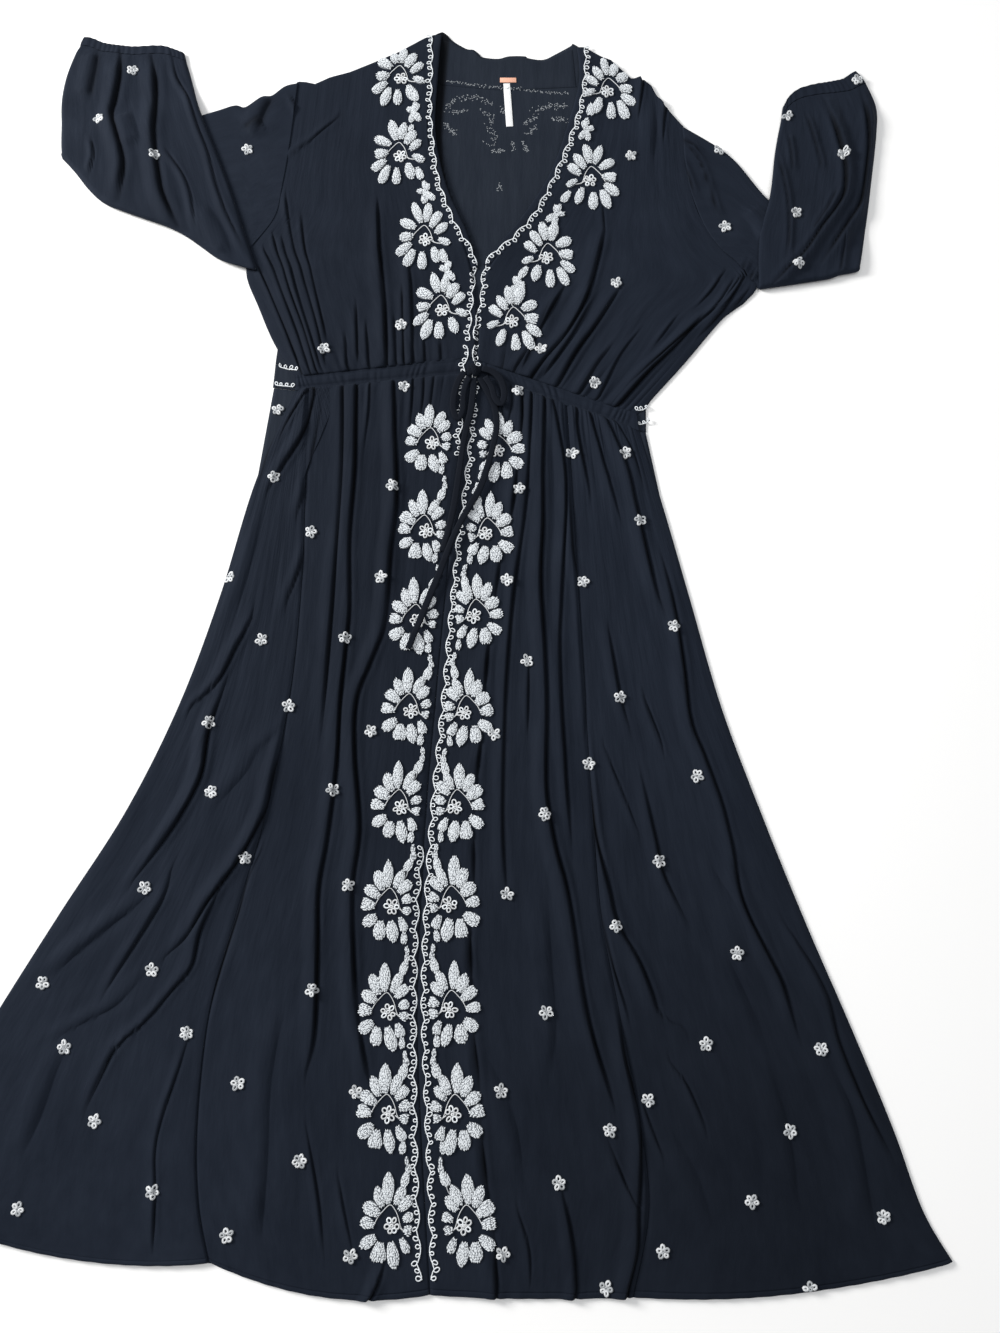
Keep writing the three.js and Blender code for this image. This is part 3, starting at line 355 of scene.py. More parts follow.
# Borders beside the neck and the centre line, in pixels of the photograph.
BORDERS = {
    "left": [
        (429, 33), (430, 60), (429, 100), (430, 131), (436, 177), (446, 207), (457, 231), (473, 258),
        (471, 290), (467, 336), (463, 368), (461, 400), (458, 440), (452, 530), (440, 620), (432, 700),
        (425, 800), (416, 900), (413, 1000), (413, 1100), (415, 1200), (418, 1286),
    ],
    "right": [
        (587, 44), (587, 70), (582, 106), (572, 138), (561, 166), (538, 212), (513, 240), (493, 256),
        (485, 274), (483, 300), (477, 329), (476, 368), (475, 400), (470, 460), (460, 540), (452, 620),
        (445, 700), (435, 800), (428, 900), (425, 1000), (428, 1100), (432, 1200), (435, 1288),
    ],
}
WAISTBAND_LOOPS = [
    [(277, 365), (288, 367), (299, 371)],
    [(273, 384), (285, 384), (298, 388)],
    [(633, 410), (642, 408), (650, 404)],
    [(636, 424), (645, 421), (651, 418)],
]

# Small flowers over the cloth, in pixels of the photograph.
SMALL_FLOWERS = [
    (133, 71), (99, 119), (155, 155), (248, 150), (401, 325), (324, 349), (278, 410), (274, 477), (404, 387),
    (392, 485), (311, 532), (229, 577), (381, 577), (262, 640), (345, 638), (209, 722), (289, 706),
    (371, 731), (211, 792), (333, 790), (245, 858), (145, 888), (348, 885), (43, 983), (152, 970),
    (187, 1033), (65, 1047), (312, 990), (238, 1083), (95, 1121), (356, 1092), (152, 1192), (300, 1161),
    (18, 1209), (227, 1235), (350, 1256), (631, 156), (616, 283), (541, 349), (595, 383), (518, 390),
    (572, 454), (626, 453), (519, 489), (640, 521), (583, 582), (507, 580), (674, 626), (527, 661),
    (620, 697), (494, 734), (589, 764), (697, 776), (545, 814), (659, 861), (507, 894), (616, 926),
    (737, 953), (546, 1012), (706, 1044), (821, 1049), (501, 1091), (648, 1100), (610, 1130),
    (790, 1131), (559, 1183), (752, 1201), (883, 1217), (503, 1254), (663, 1251), (606, 1288),
    (810, 1289), (787, 116), (857, 80), (843, 155), (796, 213), (799, 262), (725, 227), (720, 150),
]

# A large flower's petals: root and tip, outward and up from the heart, width, in mm, and how pointed each is.
SKIRT_PETALS = [
    (2.2, 16, 2.2, 41.8, 10.3, 0.9), (7.4, 13.4, 13.8, 30.5, 10.3, 0.7), (10, 7, 22.8, 16, 11.5, 0.3),
    (14, -1.5, 26, 1.5, 10.5, 0.0), (12.5, -10.4, 24.6, -19.6, 11, 0.4), (8.5, -15, 10, -31, 12, 0.2),
    (-1, -15, -5.5, -35, 11, 0.7), (-9.8, -12, -15, -23.5, 8, 0.2), (-12, -4.5, -19, -6.5, 8.5, 0.1),
    (-11.5, 2.5, -20.5, 6.5, 9, 0.2), (-8, 10.6, -18.4, 21.6, 9.5, 0.4), (-4.6, 15.2, -12.8, 32.5, 9, 0.6),
]
NECK_PETALS = [
    (3.5, 18, 10.5, 41.3, 10.5, 0.8), (-2, 18.5, -5.5, 39.6, 9.5, 0.6), (-6.9, 12, -16.8, 29.2, 10.3, 0.5),
    (-12.2, 4.3, -24.4, 16.3, 9.5, 0.4), (-15.5, -2, -27, -8.6, 8, 0.4), (-9.9, -11.2, -16, -30, 10, 0.6),
    (2, -16.3, 1.5, -36, 10, 0.3), (11, -13.5, 19.5, -35, 11, 0.5), (14.5, -6, 28, -19, 10.5, 0.4),
    (12.2, 3.4, 26, 0.9, 11, 0.2), (9.1, 12.5, 25, 21.5, 11.5, 0.3),
]
# Half-widths of a petal against its widest, by share from its root: a leaf with a point, and a blunt wedge.
LEAF = [(0, 0.38), (0.15, 0.68), (0.35, 0.93), (0.5, 1.0), (0.7, 0.87), (0.88, 0.5), (1, 0.06)]
WEDGE = [(0, 0.42), (0.25, 0.7), (0.55, 0.94), (0.8, 1.08), (0.93, 1.0), (1, 0.6)]
# Rim of the open heart, out and up from the flower's centre, in mm.
HEART_RIM = [(15, -3), (11.5, 4), (7, 9.5), (0.5, 15), (-4, 11), (-7, 5), (-9, -2), (-11, -6)]
# Garland beside the flowers: share of the way to the next flower, reach to the centre line in mm,
# turn in degrees from the way down, length, width, point.
GARLAND = [
    (0.16, 12.5, -8, 9, 7, 0.2), (0.27, 14, 6, 10, 6.5, 0.4), (0.405, 16.5, -6, 6, 4.5, 0.3),
    (0.47, 17.5, -4, 7, 6, 0.2), (0.54, 17, 20, 13, 8.5, 0.5),
]
# Stem from the garland to the next flower: share of the way and reach, in mm.
GARLAND_STEM = [(0.64, 13.5), (0.70, 13.5), (0.76, 10.5), (0.8, 7)]
# The neck's flowers stand further apart: its garland has more leaves.
NECK_GARLAND = [
    (0.17, 15.5, -5, 15, 9.5, 0.4), (0.34, 17.5, 0, 7.5, 7, 0.1), (0.47, 16, -150, 11, 7.5, 0.4),
    (0.47, 16, 130, 9, 7, 0.4), (0.47, 16, 20, 13, 8, 0.6), (0.47, 16.5, -26, 13, 8, 0.6),
    (0.63, 14.5, 12, 9, 6.5, 0.3),
]

# Drawstring routes from the knot, in mm.
TIES = {
    "tie_loop_left": [
        (28.5, 229, 8.6), (22, 219, 8.3), (17.5, 203, 7.8), (17, 188, 7.4), (21.5, 178, 7.2),
        (26.5, 187, 7.4), (27, 203, 7.8), (30, 217, 8.2), (33.5, 222.5, 8.6),
    ],
    "tie_loop_right": [
        (46.4, 232.6, 8.9), (57, 229, 9.2), (66, 219, 9.6), (69.5, 204, 9.8), (66, 193, 9.8), (60, 199, 9.8),
        (56, 212, 9.6), (49.5, 223, 9.2),
    ],
    "tie_end_short": [
        (38, 222.6, 7.4), (37, 206, 6.6), (34.5, 185, 6.4), (30, 165, 6.4), (26, 140, 6.4), (22.5, 112, 6.4),
        (18.5, 84, 6.4), (13, 58, 6.4), (7, 36, 6.4),
    ],
    "tie_end_long": [
        (43.8, 223.4, 6.8), (52, 208, 6.8), (59, 192, 6.8), (61.5, 172, 7.0), (59, 152, 8.4), (53, 128, 8.4),
        (45, 103, 7.4), (34, 82, 8.2), (24.5, 64, 9.0), (15, 42, 9.0), (5, 14, 7.8), (-6, -14, 7.4),
        (-15, -38, 8.2), (-25, -64, 7.4),
    ],
}
TIE_WIDTH = 6.5
TIE_THICK = 2.0
TIE_GAP = 1.6
KNOT_PLACE = (38, 231, 8.6)
KNOT_SIZE = (15, 13, 6.5)
# The band wrapped over the knot: its ring and thread radius in mm, its scale, and its lean in degrees.
KNOT_BAND = (4.6, 1.5)
KNOT_BAND_SCALE = (0.72, 1.25, 2.1)
KNOT_LEAN = 18


def ease(low, high, value):
    """Smooth step from 0 at low to 1 at high."""
    share = np.clip((value - low) / (high - low), 0.0, 1.0)
    return share * share * (3.0 - 2.0 * share)


def spline(points, along):
    """Smooth curve through evenly numbered points, at shares along it."""
    knots = np.asarray(points, float)
    last = len(knots) - 1
    place = np.clip(np.asarray(along, float), 0.0, 1.0) * last
    index = np.minimum(place.astype(int), last - 1)
    w = (place - index)[..., None]
    before = knots[np.maximum(index - 1, 0)]
    here = knots[index]
    there = knots[index + 1]
    after = knots[np.minimum(index + 2, last)]
    leave = (there - before) / 2
    arrive = (after - here) / 2
    cubic = 2 * here - 2 * there + leave + arrive
    square = -3 * here + 3 * there - 2 * leave - arrive
    return cubic * w**3 + square * w**2 + leave * w + here


def even(points, step):
    """Points at an even step along a smooth curve through the given ones."""
    fine = spline(points, np.linspace(0, 1, 60 * len(points)))
    run = np.concatenate([[0], np.cumsum(np.linalg.norm(np.diff(fine, axis=0), axis=1))])
    marks = np.linspace(0, run[-1], max(2, int(run[-1] / step)))
    return np.stack([np.interp(marks, run, fine[:, k]) for k in range(fine.shape[1])], axis=1)


def pixel_way(x, y):
    """Direction from the camera through a pixel of the photograph."""
    up = PHOTO_CENTRE[1] - y
    cos, sin = math.cos(CAMERA_TILT), math.sin(CAMERA_TILT)
    way = Vector((x - PHOTO_CENTRE[0], up * cos + PHOTO_FOCAL * sin, up * sin - PHOTO_FOCAL * cos))
    return way.normalized()


def pixel_place(x, y, level=3.0):
    """Place in mm where a pixel of the photograph meets a level above the floor."""
    way = pixel_way(x, y)
    reach = (level * MM - CAMERA_PLACE.z) / way.z
    return ((CAMERA_PLACE.x + way.x * reach) / MM, (CAMERA_PLACE.y + way.y * reach) / MM)


def colour(red, green, blue):
    return (red, green, blue, 1.0)


def new_material(name, base, roughness):
    """A principled material and its node tree."""
    material = bpy.data.materials.new(name)
    material.use_nodes = True
    shader = material.node_tree.nodes["Principled BSDF"]
    shader.inputs["Base Color"].default_value = colour(*base)
    shader.inputs["Roughness"].default_value = roughness
    shader.inputs["Specular IOR Level"].default_value = 0.25
    return material, shader


def noise_node(tree, coordinate, scale, stretch, detail):
    """Noise over a coordinate output, stretched along its axes."""
    mapping = tree.nodes.new("ShaderNodeMapping")
    mapping.inputs["Scale"].default_value = stretch
    noise = tree.nodes.new("ShaderNodeTexNoise")
    noise.inputs["Scale"].default_value = scale
    noise.inputs["Detail"].default_value = detail
    tree.links.new(coordinate, mapping.inputs["Vector"])
    tree.links.new(mapping.outputs["Vector"], noise.inputs["Vector"])
    return noise


def bump_chain(tree, shader, layers):
    """Adds bumps one on another: (height socket, distance in metres, strength)."""
    normal = None
    for height, distance, strength in layers:
        bump = tree.nodes.new("ShaderNodeBump")
        bump.inputs["Distance"].default_value = distance
        bump.inputs["Strength"].default_value = strength
        tree.links.new(height, bump.inputs["Height"])
        if normal is not None:
            tree.links.new(normal, bump.inputs["Normal"])
        normal = bump.outputs["Normal"]
    tree.links.new(normal, shader.inputs["Normal"])


# Grain of the cloth: scale of its noise, stretch along the cloth, detail. Bumps: depth in metres, strength.
CLOTH_GRAIN = {
    "patches": (16.0, 0.6, 4.0), "streaks": (120.0, 0.24, 4.0), "crinkle": (320.0, 0.25, 3.0),
    "wrinkle": (55.0, 0.15, 5.0), "weave": (2200.0, 0.6, 1.0),
}
CLOTH_BUMPS = {
    "wrinkle": (0.0045, 0.42), "streaks": (0.0009, 0.3), "crinkle": (0.0005, 0.4), "weave": (0.0002, 0.4),
}
CLOTH_ROUGHNESS = 0.8
CLOTH_SPECULAR = 0.06
COLOUR_SPAN = (0.28, 0.72)
# Painted shade darkens the cloth towards this share of its dark colour.
PAINTED_SHADE_COLOUR = 0.12
SHEEN = (0.03, 0.45)
SHEEN_TINT = (0.45, 0.55, 0.75)


def cloth_material(name, dark, light):
    """Crinkled woven rayon: colour in soft patches, fine crinkles along the cloth, and its weave, darkened by
    painted shade where the mesh gives it.
    """
    material, shader = new_material(name, dark, CLOTH_ROUGHNESS)
    shader.inputs["Specular IOR Level"].default_value = CLOTH_SPECULAR
    tree = material.node_tree
    uv = tree.nodes.new("ShaderNodeTexCoord").outputs["UV"]
    grain = {
        kind: noise_node(tree, uv, scale, (1.0, stretch, 1.0), detail).outputs["Fac"]
        for kind, (scale, stretch, detail) in CLOTH_GRAIN.items()
    }
    blend = tree.nodes.new("ShaderNodeMath")
    blend.operation = "ADD"
    tree.links.new(grain["patches"], blend.inputs[0])
    tree.links.new(grain["streaks"], blend.inputs[1])
    ramp = tree.nodes.new("ShaderNodeValToRGB")
    for element, position, shade_colour in zip(ramp.color_ramp.elements, COLOUR_SPAN, (dark, light)):
        element.position = position
        element.color = colour(*shade_colour)
    half = tree.nodes.new("ShaderNodeMath")
    half.operation = "MULTIPLY"
    half.inputs[1].default_value = 0.5
    tree.links.new(blend.outputs["Value"], half.inputs[0])
    tree.links.new(half.outputs["Value"], ramp.inputs["Fac"])
    # Painted shade: the mesh's shade attribute mixes the colour towards a dim copy of its dark colour.
    inside = tree.nodes.new("ShaderNodeAttribute")
    inside.attribute_name = "painted_shade"
    darken = tree.nodes.new("ShaderNodeMix")
    darken.data_type = "RGBA"
    darken.inputs["B"].default_value = colour(*(c * PAINTED_SHADE_COLOUR for c in dark))
    tree.links.new(inside.outputs["Fac"], darken.inputs["Factor"])
    tree.links.new(ramp.outputs["Color"], darken.inputs["A"])
    tree.links.new(darken.outputs["Result"], shader.inputs["Base Color"])
    shader.inputs["Sheen Weight"].default_value = SHEEN[0]
    shader.inputs["Sheen Roughness"].default_value = SHEEN[1]
    shader.inputs["Sheen Tint"].default_value = colour(*SHEEN_TINT)
    bump_chain(tree, shader, [(grain[kind], *bump) for kind, bump in CLOTH_BUMPS.items()])
    return material


def thread_material(name, base):
    """Cotton thread with a grain of stitches."""
    material, shader = new_material(name, base, 0.7)
    tree = material.node_tree
    place = tree.nodes.new("ShaderNodeTexCoord").outputs["Object"]
    grain = noise_node(tree, place, 900.0, (1.0, 1.0, 1.0), 2.0)
    bump_chain(tree, shader, [(grain.outputs["Fac"], 0.0006, 0.6)])
    return material


CLOTH = cloth_material("crinkle rayon", (0.0079, 0.0112, 0.0190), (0.0130, 0.0176, 0.0282))
CLOTH_BACK = cloth_material("rayon inside", (0.0115, 0.0155, 0.0240), (0.0170, 0.0220, 0.0320))
TIE_CLOTH = cloth_material("tie cloth", (0.0045, 0.006, 0.010), (0.0075, 0.0095, 0.0145))
THREAD = thread_material("embroidery thread", (0.75, 0.79, 0.825))
# The petals' ground, darker than the thread: painted shade in the gaps between the stitches.
THREAD_SHADE = thread_material("embroidery ground in painted shade", (0.17, 0.185, 0.205))
THREAD_MID = thread_material("embroidery thread in shade", (0.36, 0.38, 0.40))
THREAD_LOOP = thread_material("embroidery loops", (0.60, 0.62, 0.64))
THREAD_BACK = thread_material("embroidery reverse", (0.26, 0.28, 0.30))
LABEL_TAB = thread_material("label tape", (0.78, 0.42, 0.30))
LABEL_STRIP = thread_material("label ribbon", (0.80, 0.81, 0.82))


def grid_faces(rows, columns, closed=False):
    """Quads of a grid of points, joined round where it is closed."""
    r = np.arange(rows - 1)[:, None]
    c = np.arange(columns if closed else columns - 1)[None, :]
    a = r * columns + c
    b = r * columns + (c + 1) % columns
    return np.stack([a, b, b + columns, a + columns], axis=-1).reshape(-1, 4)


def mesh_object(name, points, faces, materials, uv=None, which=None, depth=None):
    """A smooth mesh in the row frame from points in mm, with the painted shade each point takes."""
    mesh = bpy.data.meshes.new(name)
    mesh.from_pydata((np.asarray(points) * MM).tolist(), [], [list(map(int, f)) for f in faces])
    for material in materials:
        mesh.materials.append(material)
    if uv is not None:
        layer = mesh.uv_layers.new(name="UVMap")
        corners = np.empty(len(mesh.loops), dtype=np.int32)
        mesh.loops.foreach_get("vertex_index", corners)
        layer.data.foreach_set("uv", (np.asarray(uv)[corners] * MM).ravel())
    if depth is not None:
        # The painted shade goes to the mesh as a point attribute that darkens its colour.
        layer = mesh.attributes.new("painted_shade", "FLOAT", "POINT")
        layer.data.foreach_set("value", np.asarray(depth, dtype=np.float32).ravel())
    if which is not None:
        mesh.polygons.foreach_set("material_index", np.asarray(which, dtype=np.int32))
    mesh.shade_smooth()
    mesh.update()
    obj = bpy.data.objects.new(name, mesh)
    bpy.context.scene.collection.objects.link(obj)
    return obj


def settle(obj, slot, *nodes):
    """The piece rides the dress and stands for the CAD nodes given."""
    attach(obj, "root")
    if nodes:
        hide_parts(*nodes)
    return obj


def thicken(obj, thickness):
    """Gives a sheet its thickness below its face."""
    wall = obj.modifiers.new("Thickness", "SOLIDIFY")
    wall.thickness = thickness * MM
    wall.offset = -1.0


surfaces = []


def cloth_object(name, points, material, slot, nodes, closed=False, grain=None, depth=None):
    """A sheet of cloth from a grid of points in mm, with its face up and its grain along the places given."""
    rows, columns = points.shape[:2]
    flat = points.reshape(-1, 3)
    faces = grid_faces(rows, columns, closed)
    if not closed:
        a, b, d = flat[faces[0][0]], flat[faces[0][1]], flat[faces[0][3]]
        if (b[0] - a[0]) * (d[1] - a[1]) - (b[1] - a[1]) * (d[0] - a[0]) < 0:
            faces = faces[:, ::-1]
    uv = flat[:, :2] if grain is None else np.asarray(grain).reshape(-1, 2)
    obj = mesh_object(f"{name}_cloth", flat, faces, [material], uv=uv, depth=depth)
    thicken(obj, CLOTH_THICK)
    surfaces.append((flat, faces))
    return settle(obj, slot, *nodes)


class Panel:
    """Cloth between an inner and an outer edge, from its top to its bottom, in mm."""

    def __init__(self, inner, outer, top_edge=((0, 0), (1, 0)), hem_bow=0.0):
        self.inner = inner
        self.outer = outer
        self.top_edge = np.array(top_edge, float)
        self.hem_bow = hem_bow

    def edges(self, along):
        return spline(self.inner, along), spline(self.outer, along)

    def place(self, across, along):
        """Places on the floor plan for a grid of shares across, one row for each share along."""
        a, b = self.edges(along)
        plan = a[:, None, :] + (b - a)[:, None, :] * across[..., None]
        rise = np.interp(across, self.top_edge[:, 0], self.top_edge[:, 1])
        plan[..., 1] += rise * (1 - ease(0, 0.25, along))[:, None]
        plan[..., 1] += (self.hem_bow * ease(0.72, 1, along))[:, None] * 4 * across * (1 - across)
        return plan

    def find(self, point):
        """Shares across and along at a place."""
        along = np.linspace(0, 1, 1200)
        a, b = self.edges(along)
        side = b - a
        width = np.linalg.norm(side, axis=1)
        off = np.asarray(point) - a
        cross = (side[:, 0] * off[:, 1] - side[:, 1] * off[:, 0]) / width
        k = int(np.argmin(np.abs(cross)))
        return float(np.dot(off[k], side[k]) / width[k] ** 2), float(along[k])


class Crease:
    """One crease of a panel, from its points in the photograph."""

    def __init__(self, panel, kind, pixels, lip, number):
        line = even([pixel_place(x, y) for x, y in pixels], 6.0)
        marks = sorted(panel.find(place)[::-1] for place in line)
        self.along = np.array([m[0] for m in marks])
        self.across = np.array([m[1] for m in marks])
        self.height, self.rise, self.fall, self.valley = CREASE_KINDS[kind]
        self.height *= 0.85 + 0.3 * math.sin(number * 2.4) ** 2
        self.lip = lip
        self.number = number

    def across_at(self, along):
        return np.interp(along, self.along, self.across)

    def strength(self, along):
        """Full along the crease and fading beyond its ends, where it doesn't reach an edge of the panel."""
        first, last = self.along[0], self.along[-1]
        reach = min(0.06, 0.4 * (last - first))
        start = 1.0 if first < 0.03 else ease(first - 0.02, first + reach, along)
        end = 1.0 if last > 0.97 else 1 - ease(last - reach, last + 0.02, along)
        return start * end * (0.85 + 0.15 * np.sin(along * 23 + self.number * 1.7))

    def off(self, across, along, width):
        """Distance in mm from the valley over a grid, to the lip's side."""
        return (across - self.across_at(along)[:, None]) * width[:, None] * self.lip

    def relief(self, across, along, width):
        """Height in mm over a grid."""
        off = self.off(across, along, width)
        beside = relief_beside(off, self.height, self.rise, self.fall, self.valley)
        return beside * self.strength(along)[:, None]

    def depth(self, across, along, width):
        """Painted shade in the fold over a grid, from 0 to 1."""
        off = self.off(across, along, width)
        return self.valley * painted_shading_beside(off, self.rise) * self.strength(along)[:, None]


# The low swell on the far side of a crease: its height against the lip, its distance and width in rises,
# and the power of e by which it has dropped at the valley.
SWELL_HEIGHT = 0.28
SWELL_OFF = 1.6
SWELL_WIDTH = 1.2
SWELL_DROP = 1.78
VALLEY_WIDTH = 1.3


def relief_beside(off, height, rise, fall, valley):
    """Height beside a crease's valley: a lip on one side that falls away slowly, a low swell on the other."""
    climb = np.sin(np.clip(off / rise, 0, 1) * math.pi / 2)
    slope = np.cos(np.clip((off - rise) / fall, 0, 1) * math.pi / 2) ** 2
    lip = np.where(off > 0, climb * slope, 0.0)
    swell = SWELL_HEIGHT * np.exp(-(((off + SWELL_OFF * rise) / (SWELL_WIDTH * rise)) ** 2))
    foot = SWELL_HEIGHT * math.exp(-SWELL_DROP) * (1 - climb)
    return height * (lip + np.where(off < 0, swell, foot)) - valley * np.exp(-((off / VALLEY_WIDTH) ** 2))


def painted_shading_beside(off, rise):
    """Painted shade of a crease's valley, which reaches up the steep side of its lip."""
    return np.exp(-((off / np.where(off > 0, 0.8 * rise, 0.45 * rise)) ** 2))


def calm(plan):
    """How much of a fold is left beside and under the stiff embroidery."""
    left = np.ones(plan.shape[:-1])
    for side in FLOWERS.values():
        for x, y in side:
            reach = ((plan[..., 0] - x) / FLOWER_CALM[0]) ** 2 + ((plan[..., 1] - y) / FLOWER_CALM[1]) ** 2
            left *= 1 - FLOWER_HOLD * np.exp(-(reach**3))
    return left


# Gathers: how far in mm each runs from the gathered edge, and its height against the highest.
GATHER_RUN = (14, 60)
GATHER_SHARE = (0.45, 1.0)
SPARE_GATHERS = 3


def gathers(across, distance, width, seed, pitch=8.5, height=2.0):
    """Small gathers that leave a gathered edge and die out unevenly."""
    draw = np.random.default_rng(seed)
    count = int(width.mean() / pitch) + SPARE_GATHERS
    lengths = draw.uniform(*GATHER_RUN, count)
    heights = draw.uniform(*GATHER_SHARE, count) * height
    phase = across * (count - SPARE_GATHERS) + 0.35 * np.sin(across * 17 + seed) + 1
    index = np.clip(phase.astype(int), 0, count - 1)
    bump = np.sin(math.pi * (phase - np.floor(phase))) ** 0.8
    return bump * heights[index] * np.exp(-((distance / lengths[index]) ** 1.3))


def rows_along(length, step, hem):
    """Shares along a panel: even rows, with closer ones at a stitched hem."""
    if not hem:
        return np.linspace(0, 1, int(length / step) + 1)
    body = np.linspace(0, 1 - HEM_ROWS_START / length, int(length / step))
    return np.concatenate([body, 1 - HEM_ROWS / length])


CREASE_GAP = 3.0
CROWDING = 0.8


def columns_across(creases, along, width, per_gap):
    """Shares across each row, crowded beside the creases."""
    lines = [c.across_at(along) for c in creases]
    marks = np.sort(np.stack(lines, axis=1), axis=1)
    gap = (CREASE_GAP / width)[:, None]
    count = marks.shape[1]
    marks = np.clip(marks, gap, 1 - gap)
    for k in range(count):
        low = gap[:, 0] if k == 0 else marks[:, k - 1] + gap[:, 0]
        marks[:, k] = np.maximum(marks[:, k], low)
    for k in reversed(range(count)):
        high = 1 - gap[:, 0] if k == count - 1 else marks[:, k + 1] - gap[:, 0]
        marks[:, k] = np.minimum(marks[:, k], high)
    ends = np.zeros((len(along), 1))
    marks = np.concatenate([ends, marks, ends + 1], axis=1)
    share = np.linspace(0, 1, per_gap + 1)[:-1]
    crowd = CROWDING * (0.5 - 0.5 * np.cos(math.pi * share)) + (1 - CROWDING) * share
    columns = marks[:, :-1, None] + np.diff(marks, axis=1)[..., None] * crowd
    return np.concatenate([columns.reshape(len(along), -1), ends + 1], axis=1)


# The neck edge: how far it stands off the back, how far in that lift reaches, its binding's cut and section.
NECK_LIFT = 3.2
NECK_LIFT_REACH = 24.0
BINDING_REACH = np.array([-0.4, 0.6, 1.6, 3.5, 5.5, 7.0, 7.8, 8.2])
BINDING_LEVEL = np.array([2.5, 3.1, 3.3, 3.4, 3.4, 3.2, 2.7, 2.0])
# Share down the bodice at which the binding ends, and how far in mm the bodice runs on under its sleeve.
BINDING_END = 0.625
SLEEVE_TUCK = 3.0


def neck_stand(along):
    """How much the neck edge stands off the back, from the shoulder down to the foot of the V."""
    return ease(0.0, 0.06, along) * (1 - ease(0.5, 0.66, along))


def tuck_under(outer_kind, along):
    """How far in mm an edge runs on under the sleeve sewn to it."""
    return SLEEVE_TUCK * (1 - ease(0.52, 0.62, along)) if outer_kind == "low rim" else np.zeros(len(along))


# Painted shade on the fronts, where they lie in softer light: centre and reach in plan, in mm, and how much
# darker.
SHADES = [(-20, 60, 150, 620, 0.24), (330, -560, 270, 270, 0.42)]


def shade(plan):
    """How much darker the cloth is painted at plan places, as shade."""
    dark = np.zeros(plan.shape[:-1])
    for x, y, wide, tall, amount in SHADES:
        dark += amount * np.exp(-(((plan[..., 0] - x) / wide) ** 2) - ((plan[..., 1] - y) / tall) ** 2)
    return dark


# Edges of a front panel, in mm: where the folds calm down beside the casing, a seam and a rim.
CASING_CALM = 9.0
SEAM_DIP = 0.8
SEAM_WIDTH = 1.7
SEAM_CALM = 5.0
RIM_WIDTH = 8.0
RIM_CALM = 13.0
EDGE_FOLDS = 0.35


def panel_object(name, panel, lip, per_gap, step, seed, inner_kind, outer_kind, hem=False, waist="top"):
    """One front panel with its creases, gathers, seams and hem."""
    a, b = panel.edges(np.linspace(0, 1, 60))
    middle = (a + b) / 2
    length = float(np.linalg.norm(np.diff(middle, axis=0), axis=1).sum())
    along = rows_along(length, step, hem)
    a, b = panel.edges(along)
    width = np.linalg.norm(b - a, axis=1)
    creases = [Crease(panel, kind, pixels, lip, k) for k, (kind, pixels) in enumerate(CREASES[name])]
    across = columns_across(creases, along, width, per_gap)
    plan = panel.place(across * (1 + tuck_under(outer_kind, along) / width)[:, None], along)
    relief = sum(c.relief(across, along, width) for c in creases)
    from_waist = (along if waist == "top" else 1 - along) * length
    relief = relief + gathers(across, from_waist[:, None], width, seed)
    relief = relief * (EDGE_FOLDS + (1 - EDGE_FOLDS) * ease(0, CASING_CALM, from_waist))[:, None]
    still = calm(plan)
    relief = relief * still
    # Painted shade in the crease valleys, weaker under the embroidery.
    depth = np.clip(sum(c.depth(across, along, width) for c in creases) * still, 0, 1)
    # Painted shade where the fronts lie in softer light.
    depth = 1 - (1 - depth) * (1 - shade(plan))
    if waist == "bottom":
        near_neck = np.exp(-((across * width[:, None] / NECK_LIFT_REACH) ** 2))
        relief += NECK_LIFT * near_neck * neck_stand(along)[:, None]
    relief += 0.5 * np.sin(plan[..., 0] / 31 + plan[..., 1] / 83 + seed) + 0.5
    from_inner = across * width[:, None]
    from_outer = (1 - across) * width[:, None]
    base = np.full(across.shape, FRONT_TOP)
    for kind, gone in ((inner_kind, from_inner), (outer_kind, from_outer)):
        if kind == "seam":
            base -= SEAM_DIP * np.exp(-((gone / SEAM_WIDTH) ** 2))
            relief *= EDGE_FOLDS + (1 - EDGE_FOLDS) * ease(0, SEAM_CALM, gone)
        if kind in ("rim", "low rim"):
            round_off = np.sqrt(1 - (1 - np.clip(gone / RIM_WIDTH, 0, 1)) ** 2)
            share = ease(0.42, 0.6, along)[:, None] if kind == "low rim" else 1.0
            base -= (FRONT_TOP - BACK_TOP) * (1 - round_off) * share
            relief *= 1 - share * (1 - ease(0, RIM_CALM, gone))
    if hem:
        from_hem = ((1 - along) * length)[:, None]
        relief += 0.4 * (1 - ease(HEM_DEPTH - 0.6, HEM_DEPTH + 0.2, from_hem))
        relief -= 0.7 * np.exp(-(((from_hem - HEM_DEPTH) / 0.8) ** 2))
        relief -= 0.6 * (1 - ease(0, 1.6, from_hem))
        relief += 0.35 * np.sin(from_inner / 3.1 + seed) * np.exp(-(from_hem / 12) ** 2)
    height = base + FOLD_LIMIT * np.tanh(relief / FOLD_LIMIT)
    lowest = np.minimum(base, FRONT_LOWEST)
    points = np.concatenate([plan, np.maximum(height, lowest)[..., None]], axis=-1)
    run = np.broadcast_to((along * length)[:, None], across.shape)
    grain = np.stack([across * width.mean(), run], axis=-1)
    obj = cloth_object(name, points, CLOTH, "crinkle_rayon", [name], grain=grain, depth=depth)
    return obj, points


